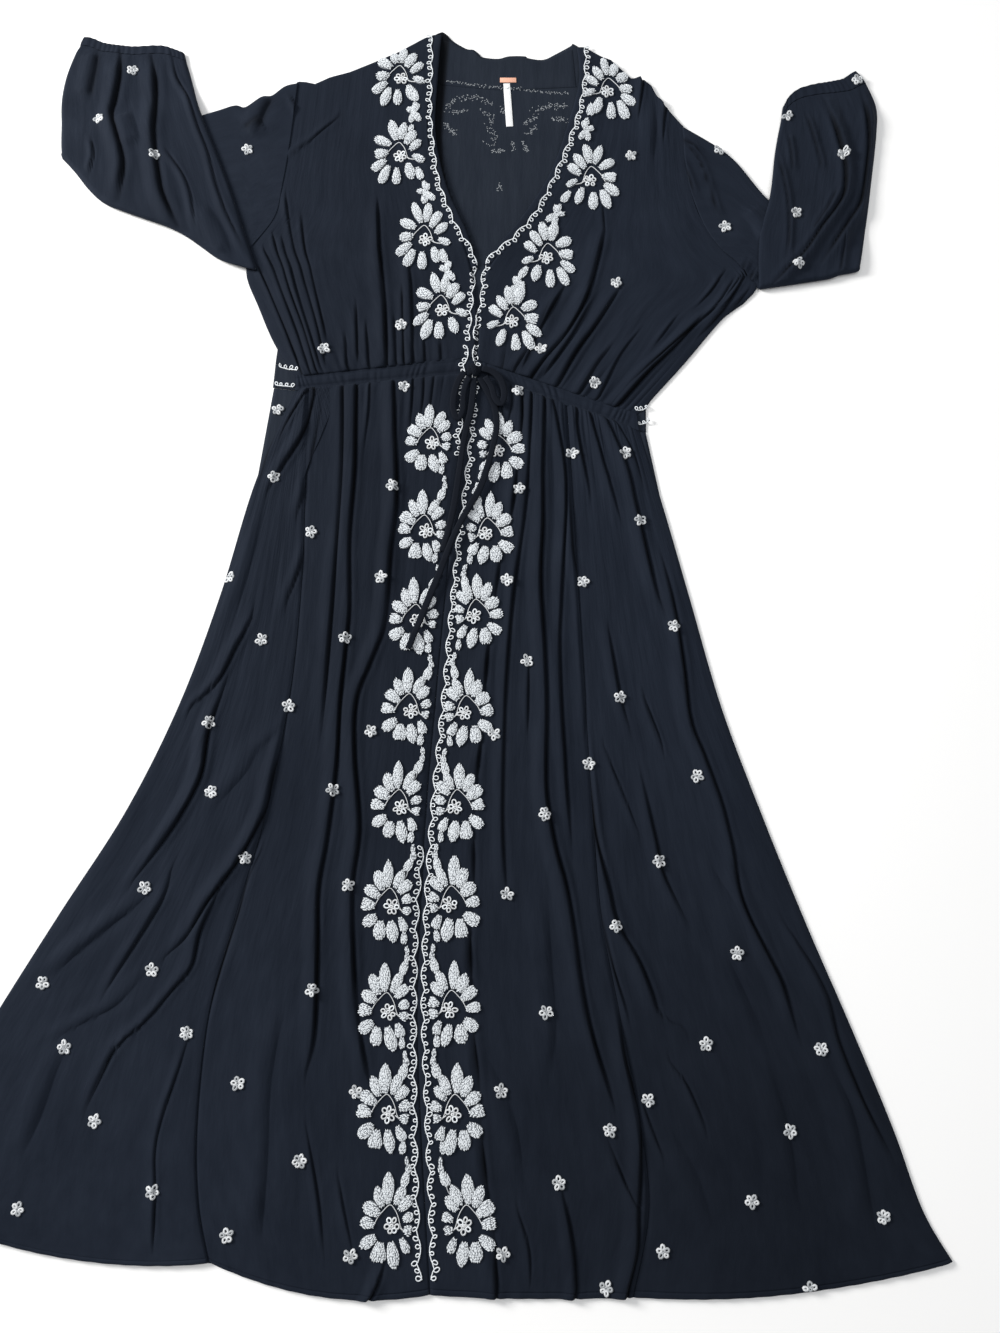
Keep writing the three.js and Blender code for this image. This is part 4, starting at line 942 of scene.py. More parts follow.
skirt = [np.array(column, float) for column in zip(*SKIRT_SECTIONS)]
centre_gap = np.array([0.25, 0])
PANELS = {
    "side_skirt_left": Panel(skirt[1] - centre_gap, skirt[0], hem_bow=HEM_DROP["left"]),
    "front_skirt_left": Panel(skirt[2] - centre_gap, skirt[1] + centre_gap, hem_bow=HEM_DROP["front_left"]),
    "front_skirt_right": Panel(skirt[2] + centre_gap, skirt[3] - centre_gap, hem_bow=HEM_DROP["front_right"]),
    "side_skirt_right": Panel(skirt[3] + centre_gap, skirt[4], hem_bow=HEM_DROP["right"]),
    "front_bodice_left": Panel(*(list(c) for c in zip(*BODICE_LEFT)), top_edge=SHOULDER_EDGE["left"]),
    "front_bodice_right": Panel(*(list(c) for c in zip(*BODICE_RIGHT)), top_edge=SHOULDER_EDGE["right"]),
}
# Front panels: side of the lips, columns between creases, row step in mm, seed, inner and outer edge,
# whether it has a hem, and where its waist is.
PANEL_PLANS = [
    ("side_skirt_left", 1, 7, 5.0, 3, "seam", "rim", True, "top"),
    ("front_skirt_left", 1, 9, 5.0, 5, "seam", "seam", True, "top"),
    ("front_skirt_right", -1, 8, 5.0, 8, "seam", "seam", True, "top"),
    ("side_skirt_right", -1, 6, 5.0, 13, "seam", "rim", True, "top"),
    ("front_bodice_left", 1, 7, 4.0, 21, "plain", "low rim", False, "bottom"),
    ("front_bodice_right", -1, 7, 4.0, 34, "plain", "low rim", False, "bottom"),
]
# The cut of each sheet before gathering: fullness against the laid cloth.
FULLNESS = {
    "side_skirt_left": 1.12, "front_skirt_left": 1.18, "front_skirt_right": 1.2, "side_skirt_right": 1.14,
    "front_bodice_left": 1.15, "front_bodice_right": 1.15, "sleeve": 1.1, "cuff": 1.3, "casing": 1.25,
}


def declare_sheet(points, fullness=1.0):
    """Works out a sheet's cut from its laid size and fullness, without keeping it."""
    low, high = points.reshape(-1, 3).min(axis=0), points.reshape(-1, 3).max(axis=0)
    width, length = (high - low)[:2] * MM
    width *= fullness


for name, *plan, hem, waist in PANEL_PLANS:
    piece, grid = panel_object(name, PANELS[name], *plan, hem, waist)
    declare_sheet(grid, FULLNESS[name])


def blend_patch(bottom, top, left, right, across, along):
    """Plan places inside four edges."""
    s, t = across[None, :, None], along[:, None, None]
    lower, upper = spline(bottom, across)[None], spline(top, across)[None]
    start, stop = spline(left, along)[:, None], spline(right, along)[:, None]
    corners = (1 - s) * (1 - t) * lower[:, :1] + s * (1 - t) * lower[:, -1:]
    corners = corners + (1 - s) * t * upper[:, :1] + s * t * upper[:, -1:]
    return (1 - t) * lower + t * upper + (1 - s) * start + s * stop - corners


def even_edge(points, count=40):
    """An edge as evenly spaced points, kept straight between the given ones."""
    line = np.asarray(points, float)
    run = np.concatenate([[0], np.cumsum(np.linalg.norm(np.diff(line, axis=0), axis=1))])
    marks = np.linspace(0, run[-1], count)
    return np.stack([np.interp(marks, run, line[:, k]) for k in range(2)], axis=1)


# Painted shadow inside the neck beside the left front's edge: its width by height up the dress in mm, and its
# depth.
NECK_SHADE = [(360, 0.5), (400, 1.2), (440, 2.2), (470, 3.5), (500, 6.5), (530, 9), (645, 10.5)]
NECK_SHADE_DEPTH = 0.92


def neck_shade(plan):
    """How dark the back is painted under the left neck edge: painted shadow of that edge, which stands off
    it.
    """
    edge = spline([row[0] for row in BODICE_LEFT], np.linspace(0, 0.66, 80))[::-1]
    off = plan[..., 0] - np.interp(plan[..., 1], edge[:, 1], edge[:, 0]) - BINDING_REACH[-1]
    width = np.interp(plan[..., 1], *zip(*NECK_SHADE))
    inside = ease(355, 375, plan[..., 1])
    return NECK_SHADE_DEPTH * inside * ease(-14, -10, off) * (1 - ease(0.65, 1.15, off / width))


# Slight swell of the cloth at the back, in mm: its height, its highest, and its waves across and along.
BACK_SWELL = 0.35
BACK_SWELL_TOP = 0.2
BACK_WAVES = (37, 51)


def back_object(name, plan, top, seed, lift=0.0):
    """A back panel that lies flat under the fronts with a slight swell, raised inside its edges by a lift."""
    wave_x, wave_y = np.sin(plan[..., 0] / BACK_WAVES[0] + seed), np.sin(plan[..., 1] / BACK_WAVES[1] + seed)
    level = np.full(plan.shape[:2], top) + np.minimum(BACK_SWELL * wave_x * wave_y, BACK_SWELL_TOP)
    down, over = np.linspace(0, 1, plan.shape[0])[:, None], np.linspace(0, 1, plan.shape[1])[None, :]
    level += lift * ease(0, 0.12, down) * ease(0, 0.05, over) * ease(0, 0.05, 1 - over)
    points = np.concatenate([plan, level[..., None]], axis=-1)
    # The back takes the painted shadow of the left neck edge, where it reaches.
    piece = cloth_object(name, points, CLOTH_BACK, "rayon_back", [name], depth=neck_shade(plan))
    return piece, points


def end_to_end(bottom, top):
    """The two straight sides that join the ends of a lower and an upper edge."""
    return [bottom[0], top[0]], [bottom[-1], top[-1]]


def hem_edge(name, way):
    """The hem of one front panel, in the way given."""
    return PANELS[name].place(np.linspace(0, 1, 20)[None, ::way], np.array([1.0]))[0]


# The back skirt starts at the waistband, keeps inside the side edges, and its hem stays above the front's.
BACK_WAIST = ((-170, 214.3), (215, 165))
BACK_INSET = np.array([1, 0])
BACK_HEM_RISE = np.array([0, 4.0])
hem_curve = BACK_HEM_RISE + np.concatenate([
    hem_edge("side_skirt_left", -1), hem_edge("front_skirt_left", -1),
    hem_edge("front_skirt_right", 1), hem_edge("side_skirt_right", 1),
])
# Back panels: bottom, top, left and right edge, columns, rows, level and lift in mm, and what each rests on.
BACK_PLANS = {
    "back_bodice": (
        BAND["top"], BACK_TOP_EDGE, even_edge(BACK_LEFT), even_edge(BACK_RIGHT), 190, 90, BACK_TOP, 0.0, []),
    "back_waistband": (
        BAND["bottom"], BAND["top"], *end_to_end(BAND["bottom"], BAND["top"]), 90, 8, BACK_TOP, 0.0, []),
    "back_skirt": (
        even_edge(BACK_WAIST), even_edge(hem_curve, 90),
        even_edge([BACK_WAIST[0], *(skirt[0][1:] + BACK_INSET)]),
        even_edge([BACK_WAIST[1], *(skirt[4][1:] - BACK_INSET)]), 90, 110, BACK_TOP, 0.0, []),
    "back_neck_facing": (
        FACING_BOTTOM, FACING_TOP, *end_to_end(FACING_BOTTOM, FACING_TOP), 90, 24, BACK_TOP + 0.2, 0.6,
        ["back_bodice"]),
}
for seed, (name, plan) in enumerate(BACK_PLANS.items(), start=1):
    *edges, columns, rows, top, lift, rests_on = plan
    patch = blend_patch(*edges, np.linspace(0, 1, columns), np.linspace(0, 1, rows))
    piece, grid = back_object(name, patch, top, seed, lift)
    declare_sheet(grid)


FOREARM_LEVEL = 7.0
ROUTE_REACH = 5.0
DEEPEST = -0.8


def route_relief(plan, creases, lip):
    """Height in mm of creases given by their pixels, over a grid of plan places, and the painted shade of
    their valleys.
    """
    total = np.zeros(plan.shape[:2])
    depth = np.zeros(plan.shape[:2])
    for number, (kind, pixels) in enumerate(creases):
        height, rise, fall, valley = CREASE_KINDS[kind]
        line = even([pixel_place(x, y, FOREARM_LEVEL) for x, y in pixels], 3.0)
        way = np.gradient(line, axis=0)
        way /= np.linalg.norm(way, axis=1, keepdims=True)
        gap = plan[..., None, :] - line
        k = np.argmin((gap**2).sum(axis=-1), axis=-1)
        near = np.take_along_axis(gap, k[..., None, None], axis=-2)[..., 0, :]
        turn = way[k]
        off = (turn[..., 1] * near[..., 0] - turn[..., 0] * near[..., 1]) * lip
        past = np.abs((turn * near).sum(axis=-1))
        share = k / (len(line) - 1)
        ends = 0.25 + 0.75 * ease(0, 0.15, share) * (1 - ease(0.85, 1, share))
        strength = np.exp(-((past / ROUTE_REACH) ** 2)) * ends
        total += relief_beside(off, height, rise, fall, valley) * strength
        depth += painted_shading_beside(off, rise) * strength * valley
    return np.maximum(total, DEEPEST), np.clip(depth, 0, 1)


def even_value(values, share):
    """Smooth value at a share between values at even shares."""
    line = np.stack([np.linspace(0, 1, len(values)), np.array(values, float)], axis=1)
    return spline(line, share)[..., 1]


# A flattened sleeve, in mm: the width of its round edge, where creases calm down beside it, its lowest place.
TUBE_EDGE = 5.0
TUBE_CALM = 9.0
TUBE_LOWEST = 0.15


def sleeve_points(sleeve, rows, shares_across, creases_over, creases_upper, gather=None):
    """Rings of a flattened sleeve in mm: down one layer from the underarm edge and back along the other."""
    fold = sleeve["fold"]
    start, stop = np.array(fold["inner"], float), np.array(fold["outer"], float)
    way = (stop - start) / np.linalg.norm(stop - start)
    side = math.copysign(1.0, start[0])
    away = np.array([-way[1], way[0]]) * side
    rest_from, rest_to = np.array(sleeve["rest"][0], float), np.array(sleeve["rest"][1], float)
    rest_way = (rest_to - rest_from) / np.linalg.norm(rest_to - rest_from)
    arm_curve = np.array(sleeve["armhole"], float)
    cuff_line = np.array(sleeve["cuff"][-1], float)
    cuff_way = np.array([-(cuff_line[1] - cuff_line[0])[1], (cuff_line[1] - cuff_line[0])[0]])
    cuff_way *= math.copysign(1.0, cuff_way[1]) / np.linalg.norm(cuff_way)
    layers = []
    for low in (True, False):
        sheet_rows = []
        for row in rows:
            inner, outer = np.array(row["inner"]), np.array(row["outer"])
            width = np.linalg.norm(outer - inner)
            s = shares_across if low else shares_across[-2:0:-1]
            plan = inner + (outer - inner) * s[:, None]
            if row["bow"] > 0:
                straight = arm_curve[0] + (arm_curve[-1] - arm_curve[0]) * s[:, None]
                plan = plan + (spline(arm_curve, s) - straight) * row["bow"]
            plan = plan - away * (even_value(sleeve["fold_bulge"], s) * row["bulge"])[:, None]
            plan = plan + cuff_way * (even_value(sleeve["cuff_bow"], s) * row["cuff"])[:, None]
            edge = np.minimum(s, 1 - s) * width
            round_off = np.sqrt(1 - (1 - np.clip(edge / TUBE_EDGE, 0, 1)) ** 2)
            level = TUBE_HEIGHT / 2 * (1 - round_off) if low else TUBE_HEIGHT / 2 * (1 + round_off)
            arm = FOLD_AXIS_Z - level
            past = rest_way[0] * (plan[:, 1] - rest_from[1]) - rest_way[1] * (plan[:, 0] - rest_from[0])
            outside = past * math.copysign(1.0, rest_from[0]) > 0
            settled = np.where(outside, FOREARM_LIFT * ease(4, FOREARM_SLOPE, np.abs(past)), 0.0)
            drop = settled if row["turn"] >= 180 else 0.0
            turn = math.radians(row["turn"])
            xy = plan + away * (-arm * math.sin(turn))[:, None]
            z = FOLD_AXIS_Z - arm * math.cos(turn) - drop
            sheet_rows.append(np.concatenate([xy, z[:, None], edge[:, None]], axis=1))
        layers.append(np.array(sheet_rows))
    low, high = layers
    turned = np.array([row["turn"] for row in rows])
    over = ease(120, 180, turned)[:, None]
    before = (1 - ease(0, 60, turned))[:, None]
    lip = -side
    calm_edge = ease(0, TUBE_CALM, low[..., 3])
    # Painted shade in the sleeve's crease valleys.
    relief, low_painted_shading = route_relief(low[..., :2], creases_over, lip)
    low[..., 2] += relief * over * calm_edge
    low_painted_shading = low_painted_shading * over * calm_edge
    high_painted_shading = np.zeros(high.shape[:2])
    if creases_upper:
        calm_edge = ease(0, TUBE_CALM, high[..., 3])
        relief, high_painted_shading = route_relief(high[..., :2], creases_upper, lip)
        high[..., 2] += relief * before * calm_edge
        high_painted_shading = high_painted_shading * before * calm_edge
    if gather is not None:
        low[..., 2] += gather(shares_across)[None, :] * over
    points = np.concatenate([low, high], axis=1)[..., :3]
    points[..., 2] = np.maximum(points[..., 2], TUBE_LOWEST)
    return points, np.concatenate([low_painted_shading, high_painted_shading], axis=1)


def row_between(start, stop, turn, bow=0.0, bulge=0.0, cuff=0.0):
    """One row of a sleeve from its inner to its outer edge, and how much it turns, hugs and bulges."""
    return {"inner": start, "outer": stop, "turn": turn, "bow": bow, "bulge": bulge, "cuff": cuff}


def sleeve_rows(sleeve, upper_count=56, fold_count=13, forearm_count=84):
    """Rows of a sleeve from its armhole, over the elbow fold, to the end of the forearm."""
    fold, armhole = sleeve["fold"], sleeve["armhole"]
    inner, outer = zip((armhole[0], armhole[-1]), *sleeve["upper"], (fold["tucked"], fold["outer"]))
    rows = []
    for share in np.linspace(0, 1, upper_count, endpoint=False):
        bow = float(np.interp(share, np.linspace(0, 1, len(sleeve["hug"])), sleeve["hug"]))
        bulge = float(ease(0.75, 1, share))
        rows.append(row_between(spline(inner, share), spline(outer, share), 0.0, bow, bulge))
    tucked, free = np.array(fold["tucked"], float), np.array(fold["inner"], float)
    for turn in np.linspace(0, 180, fold_count):
        slide = float(ease(60, 180, turn))
        rows.append(row_between(tucked + (free - tucked) * slide, fold["outer"], turn, bulge=1.0))
    inner, outer = zip((fold["inner"], fold["outer"]), *sleeve["forearm"])
    for share in np.linspace(0, 1, forearm_count + 1)[1:]:
        bulge = math.exp(-((share / 0.22) ** 2))
        cuff = float(ease(0.55, 1, share))
        rows.append(row_between(spline(inner, share), spline(outer, share), 180.0, bulge=bulge, cuff=cuff))
    return rows


def cuff_rows(sleeve, count=9):
    """Rows of the cuff at the end of a sleeve."""
    inner, outer = zip(*sleeve["cuff"])
    shares = np.linspace(0, 1, count)
    return [row_between(spline(inner, s), spline(outer, s), 180.0, cuff=1.0) for s in shares]


def tube_sheet(rings, length=None):
    """Works out the cut of a tube of cloth: its whole way round, by its length along the rings unless given,
    without keeping it.
    """
    rings = np.concatenate([rings, rings[:, :1]], axis=1)
    if length is None:
        length = float(np.linalg.norm(np.diff(rings.mean(axis=1), axis=0), axis=1).sum()) * MM


SLEEVE_EDGE_SHARE = 0.05
SLEEVE_SHARES = np.concatenate([
    np.linspace(0, SLEEVE_EDGE_SHARE, 5)[:-1],
    np.linspace(SLEEVE_EDGE_SHARE, 1 - SLEEVE_EDGE_SHARE, 82),
    np.linspace(1 - SLEEVE_EDGE_SHARE, 1, 5)[1:],
])
# The sleeve's cloth along its grain, in mm: half its way round, and its run.
SLEEVE_GRAIN = (150, 380)
CUFF_SHARES = np.linspace(0, 1, 120)
CUFF_DEPTH = 12.0
CUFF_GATHERS = {"left": 17, "right": 14}
CUFF_GATHER_HEIGHT = 0.5
for side_name, sleeve in SLEEVES.items():
    over, upper = CREASES[f"sleeve_{side_name}"], CREASES[f"upper_{side_name}"]
    rings, depth = sleeve_points(sleeve, sleeve_rows(sleeve), SLEEVE_SHARES, over, upper)
    name = f"sleeve_{side_name}"
    around = np.linspace(0, 2, rings.shape[1]) * SLEEVE_GRAIN[0]
    run = np.linspace(0, 1, rings.shape[0]) * SLEEVE_GRAIN[1]
    grain = np.stack(np.meshgrid(around, run), axis=-1)
    piece = cloth_object(name, rings, CLOTH, "crinkle_rayon", [name], closed=True, grain=grain, depth=depth)
    tube_sheet(rings)

    def cuff_gather(s, count=CUFF_GATHERS[side_name]):
        return CUFF_GATHER_HEIGHT * np.sin(math.pi * (count * s + 0.7 * np.sin(9 * s))) ** 2

    rings, depth = sleeve_points(sleeve, cuff_rows(sleeve), CUFF_SHARES, over, [], cuff_gather)
    name = f"cuff_{side_name}"
    piece = cloth_object(name, rings, CLOTH, "crinkle_rayon", [name], closed=True, depth=depth)
    tube_sheet(rings, CUFF_DEPTH * MM)


# The casing: how far it laps over bodice and skirt and where its stitches run, in shares of its depth,
# and its rise over the cloth, its cord's swell, its stitches' dip and its ripple's height, in mm.
CASING_LAP = 0.12
CASING_STITCH = 0.16
CASING_RISE = 0.6
CASING_SWELL = 0.7
CASING_DIP = 0.3
CASING_RIPPLE = 0.7


def casing_points(side, count, seed):
    """The gathered casing between bodice and skirt, with its cord inside and two rows of stitching."""
    s = np.linspace(0, 1, 200)
    bodice = PANELS[f"front_bodice_{side}"]
    upper = spline([edge[0] for edge in bodice.edges(np.array([1.0]))], s)
    inner = PANELS[f"front_skirt_{side}"].edges(np.array([0.0]))
    outer = PANELS[f"side_skirt_{side}"].edges(np.array([0.0]))
    reach = np.array([0, np.linalg.norm(inner[1][0] - inner[0][0]), 0])
    reach[2] = reach[1] + np.linalg.norm(outer[1][0] - outer[0][0])
    knots = np.array([inner[0][0], inner[1][0], outer[1][0]])
    lower = np.stack([np.interp(s, reach / reach[2], knots[:, k]) for k in range(2)], axis=1)
    rows = np.linspace(-CASING_LAP, 1 + CASING_LAP, 21)
    plan = upper[None] * (1 - rows[:, None, None]) + lower[None] * rows[:, None, None]
    slant = 0.6 * np.sin(5 * s + seed) * (rows[:, None] - 0.5)
    phase = count * s + 0.7 * np.sin(13 * s + seed) + 0.4 * np.sin(31 * s + 2 * seed) + slant
    uneven = 0.6 + 0.4 * np.sin(17 * s + 3 * seed)
    ripple = uneven * np.abs(np.sin(math.pi * phase)) ** 1.4
    body = np.exp(-(((rows - 0.5) / 0.26) ** 4))
    from_edge = np.minimum(rows, 1 - rows)
    stitch = np.exp(-(((from_edge - CASING_STITCH) / 0.06) ** 2))
    rim = np.exp(-(((from_edge + CASING_LAP) / 0.1) ** 2))
    level = FRONT_TOP + CASING_RISE + CASING_SWELL * body - CASING_DIP * stitch
    z = level[:, None] + (CASING_RIPPLE + 0.5 * body - 0.3 * rim)[:, None] * ripple
    return np.concatenate([plan, z[..., None]], axis=-1)


for side_name, count, seed in (("left", 21, 1), ("right", 20, 2)):
    grid = casing_points(side_name, count, seed)
    name = f"waist_casing_{side_name}"
    # The casing takes the fronts' painted shade.
    piece = cloth_object(name, grid, CLOTH, "crinkle_rayon", [name], depth=shade(grid[..., :2]))
    run = float(np.linalg.norm(np.diff(grid[8, :, :2], axis=0), axis=1).sum()) * MM


def strip_along(line, reaches, heights):
    """A strip beside a plan line: one column for each reach to its left, at the height given."""
    way = np.gradient(line, axis=0)
    way /= np.linalg.norm(way, axis=1, keepdims=True)
    across = np.stack([-way[:, 1], way[:, 0]], axis=1)
    plan = line[:, None, :] + across[:, None, :] * np.asarray(reaches)[None, :, None]
    level = np.broadcast_to(np.asarray(heights)[None, :], plan.shape[:2])
    return np.concatenate([plan, level[..., None]], axis=-1)


for side_name, sections, sign in (("left", BODICE_LEFT, 1), ("right", BODICE_RIGHT, -1)):
    shares = np.linspace(0, BINDING_END, 90)
    neck = spline([row[0] for row in sections], shares)
    grid = strip_along(neck, BINDING_REACH * sign, BINDING_LEVEL)
    grid[..., 2] += NECK_LIFT * neck_stand(shares)[:, None]
    name = f"neck_binding_{side_name}"
    # The binding takes the fronts' painted shade.
    piece = cloth_object(name, grid, CLOTH, "crinkle_rayon", [name], depth=shade(grid[..., :2]))
    run = float(np.linalg.norm(np.diff(neck, axis=0), axis=1).sum()) * MM


def join_surfaces():
    """One search tree over all the cloth laid so far."""
    places, faces, first = [], [], 0
    for flat, quads in surfaces:
        places.append(flat)
        faces.append(quads + first)
        first += len(flat)
    return BVHTree.FromPolygons(np.concatenate(places).tolist(), np.concatenate(faces).tolist())


cloth_tree = join_surfaces()
DOWN = Vector((0, 0, -1))


def below(x, y):
    """The cloth's place under a plan place, or None where there is no cloth."""
    return cloth_tree.ray_cast(Vector((x, y, ABOVE_CLOTH)), DOWN)[0]


def covered(x, y):
    """Whether cloth lies at a plan place."""
    return below(x, y) is not None


def lie(x, y):
    """Height of the cloth at a plan place, in mm."""
    hit = below(x, y)
    return hit.z if hit is not None else FRONT_TOP


def seen(x, y):
    """Plan place on the cloth at a pixel of the photograph, in mm."""
    hit = cloth_tree.ray_cast(CAMERA_PLACE / MM, pixel_way(x, y))[0]
    return (hit.x, hit.y) if hit is not None else pixel_place(x, y)


# A padded petal: its grid, how much of the cloth's relief it follows, and its stitches' spacing in mm.
PETAL_GRID = (8, 6)
PETAL_SETTLE = 0.4
PETAL_RISE = 0.3
STITCH_ROW = 1.8
STITCH_GAP = 1.3
STITCH_COVER = 0.94


class Stitching:
    """Points and faces of many stitches, laid on the cloth and gathered into one piece."""

    def __init__(self):
        self.points = []
        self.faces = []
        self.which = []
        self.count = 0

    def add(self, points, faces, material=0):
        self.points.append(np.asarray(points, float))
        self.faces.extend((np.asarray(faces) + self.count).tolist())
        self.which.extend([material] * len(faces))
        self.count += len(points)

    def thread(self, line, radius, lift, sides=4, material=0, closed=False):
        """A thread along a plan line, on the cloth."""
        line = np.asarray(line, float)
        way = np.roll(line, -1, axis=0) - np.roll(line, 1, axis=0) if closed else np.gradient(line, axis=0)
        way /= np.maximum(np.linalg.norm(way, axis=1, keepdims=True), 1e-9)
        across = np.stack([-way[:, 1], way[:, 0]], axis=1)
        level = np.array([lie(x, y) for x, y in line]) + lift
        turns = np.linspace(0, 2 * math.pi, sides, endpoint=False) + math.pi / sides
        ring_plan = line[:, None, :] + across[:, None, :] * (radius * np.cos(turns))[None, :, None]
        ring_level = level[:, None] + radius * np.sin(turns)[None, :]
        points = np.concatenate([ring_plan, ring_level[..., None]], axis=-1)
        rows = len(line)
        if closed:
            points = np.concatenate([points, points[:1]], axis=0)
            rows += 1
        self.add(points.reshape(-1, 3), grid_faces(rows, sides, True), material)

    def petal(self, root, turn, length, width, point, height=2.4):
        """A padded petal from its root, covered with short stitches."""
        u = np.linspace(0, 1, PETAL_GRID[0])
        v = np.linspace(-1, 1, PETAL_GRID[1])
        cos, sin = math.cos(turn), math.sin(turn)

        def spread(along):
            leaf, wedge = np.interp(along, *zip(*LEAF)), np.interp(along, *zip(*WEDGE))
            return width / 2 * (point * leaf + (1 - point) * wedge)

        def plan(along, side):
            fore, out = along * length, spread(along) * side
            return root[0] + fore * cos - out * sin, root[1] + fore * sin + out * cos

        def swell(along, side):
            arch = np.sqrt(np.maximum(0, 1 - side**2))
            return PETAL_RISE + height * arch * np.sin(math.pi * np.clip(along, 0.04, 0.96)) ** 0.4

        along, side = np.meshgrid(u, v, indexing="ij")
        x, y = plan(along, side)
        rest = np.array([lie(px, py) for px, py in zip(x.ravel(), y.ravel())]).reshape(x.shape)
        middle = (1 - PETAL_SETTLE) * rest.mean()
        z = PETAL_SETTLE * rest + middle + swell(along, side)
        # The petal's padding takes the darker ground: painted shade between the stitches.
        self.add(np.stack([x, y, z], axis=-1).reshape(-1, 3), grid_faces(*PETAL_GRID), 1)
        rows = max(3, int(length / STITCH_ROW))
        for i in range(rows):
            share = (i + 0.5) / rows
            wide = float(spread(np.array(share)))
            across = max(1, int(2 * wide / STITCH_GAP))
            for j in range(across):
                s = ((j + 0.5) / across * 2 - 1) * STITCH_COVER + rng.uniform(-0.08, 0.08)
                a = min(0.98, max(0.02, share + rng.uniform(-0.35, 0.35) / rows))
                sx, sy = plan(np.array(a), s)
                level = PETAL_SETTLE * lie(float(sx), float(sy)) + middle
                base = level + float(swell(np.array(a), np.array(s)))
                self.stitch(float(sx), float(sy), base, turn + rng.uniform(-0.45, 0.45) - s * 0.25)

    def stitch(self, x, y, level, turn, length=3.0, width=1.2, height=0.6, material=0):
        """One short stitch: a low lozenge."""
        fore = np.array([math.cos(turn), math.sin(turn)]) * length / 2
        out = np.array([-math.sin(turn), math.cos(turn)]) * width / 2
        points = [
            (x - fore[0], y - fore[1], level), (x + out[0], y + out[1], level + 0.1),
            (x + fore[0], y + fore[1], level), (x - out[0], y - out[1], level + 0.1), (x, y, level + height),
        ]
        self.add(points, [(0, 4, 1), (1, 4, 2), (2, 4, 3), (3, 4, 0)], material)

    def loops(self, centre, count, reach, size, turn, radius=0.6, lift=0.7, materials=(0,)):
        """A little flower of thread loops round a centre."""
        for k in range(count):
            way = turn + 2 * math.pi * k / count + rng.uniform(-0.2, 0.2)
            fore = np.array([math.cos(way), math.sin(way)])
            out = np.array([-fore[1], fore[0]])
            place = np.array(centre) + reach * rng.uniform(0.88, 1.12) * fore
            long, wide = size * rng.uniform(0.95, 1.35), size * rng.uniform(0.75, 1.05)
            if not covered(*(place + size * fore)):
                continue
            turns = np.linspace(0, 2 * math.pi, 9, endpoint=False)
            ring = place + long * np.cos(turns)[:, None] * fore + wide * np.sin(turns)[:, None] * out
            self.thread(ring, radius, lift, closed=True, material=materials[k % len(materials)])

    def piece(self, name, materials, slot, *nodes):
        obj = mesh_object(name, np.concatenate(self.points), self.faces, materials, which=self.which)
        return settle(obj, slot, *nodes)


def pigtails(line, pitch=6.8, size=1.75, scallop=21.0, sag=1.6, side=1):
    """A plan line of thread in shallow scallops, that turns a small round loop at every step."""
    way = np.gradient(line, axis=0)
    way /= np.linalg.norm(way, axis=1, keepdims=True)
    across = np.stack([-way[:, 1], way[:, 0]], axis=1) * side
    run = np.concatenate([[0], np.cumsum(np.linalg.norm(np.diff(line, axis=0), axis=1))])
    places = []
    mark = pitch / 2
    while mark < run[-1] - pitch / 2:
        loop = size * rng.uniform(0.8, 1.2)
        for turn in np.linspace(0, 2 * math.pi, 11):
            along = mark + loop * math.sin(turn) + 0.15 * loop * turn
            wave = abs(math.sin(math.pi * along / scallop)) - 0.6
            places.append((along, loop * (1 - math.cos(turn)) - size - sag * wave))
        mark += pitch * rng.uniform(0.85, 1.15)
    places = np.clip(np.array(places), [0, -9], [run[-1], 9])
    base = np.stack([np.interp(places[:, 0], run, line[:, k]) for k in range(2)], axis=1)
    out = np.stack([np.interp(places[:, 0], run, across[:, k]) for k in range(2)], axis=1)
    return base + out * places[:, 1:]


SHORTEST_PETAL = 8.0
NECK_FLOWERS = 4
# The little flower in the heart: its place from the centre, and its stem from there, out and up in mm.
HEART_PLACE = (-1.5, -2)
HEART_STEM = [(-6, -1), (-11, -4), (-17, -5)]


def large_flower(work, centre, mirror, seed, petals):
    """A large flower: padded petals round an open heart that holds a little looped flower."""
    draw = random.Random(seed)
    for root_out, root_up, tip_out, tip_up, width, point in petals:
        start = (centre[0] + root_out * mirror, centre[1] + root_up)
        way = math.atan2(tip_up - root_up, (tip_out - root_out) * mirror) + draw.uniform(-0.07, 0.07)
        cos, sin = math.cos(way), math.sin(way)
        reach = math.hypot(tip_out - root_out, tip_up - root_up) * draw.uniform(0.93, 1.05)
        while reach > SHORTEST_PETAL and not covered(start[0] + reach * cos, start[1] + reach * sin):
            reach *= 0.93
        width *= draw.uniform(0.98, 1.18)
        point = min(1.0, max(0.0, point + draw.uniform(-0.15, 0.4)))
        work.petal(start, way, reach, width, point)
    heart = (centre[0] + HEART_PLACE[0] * mirror, centre[1] + HEART_PLACE[1])
    work.loops(heart, 6, 4.7, 2.0, seed * 0.7, radius=0.9, materials=(0, 3, 3))
    work.loops(heart, 1, 0.0, 1.2, 0.0, radius=1.0, materials=(3,))
    stem = even([(heart[0] + out * mirror, heart[1] + up) for out, up in HEART_STEM], 1.5)
    work.thread(stem, 0.6, 0.5, material=3)
    rim = even([(centre[0] + out * mirror, centre[1] + up) for out, up in HEART_RIM], 1.6)
    work.thread(rim, 0.45, 0.5, material=3)


LEAF_HEIGHT = 1.5


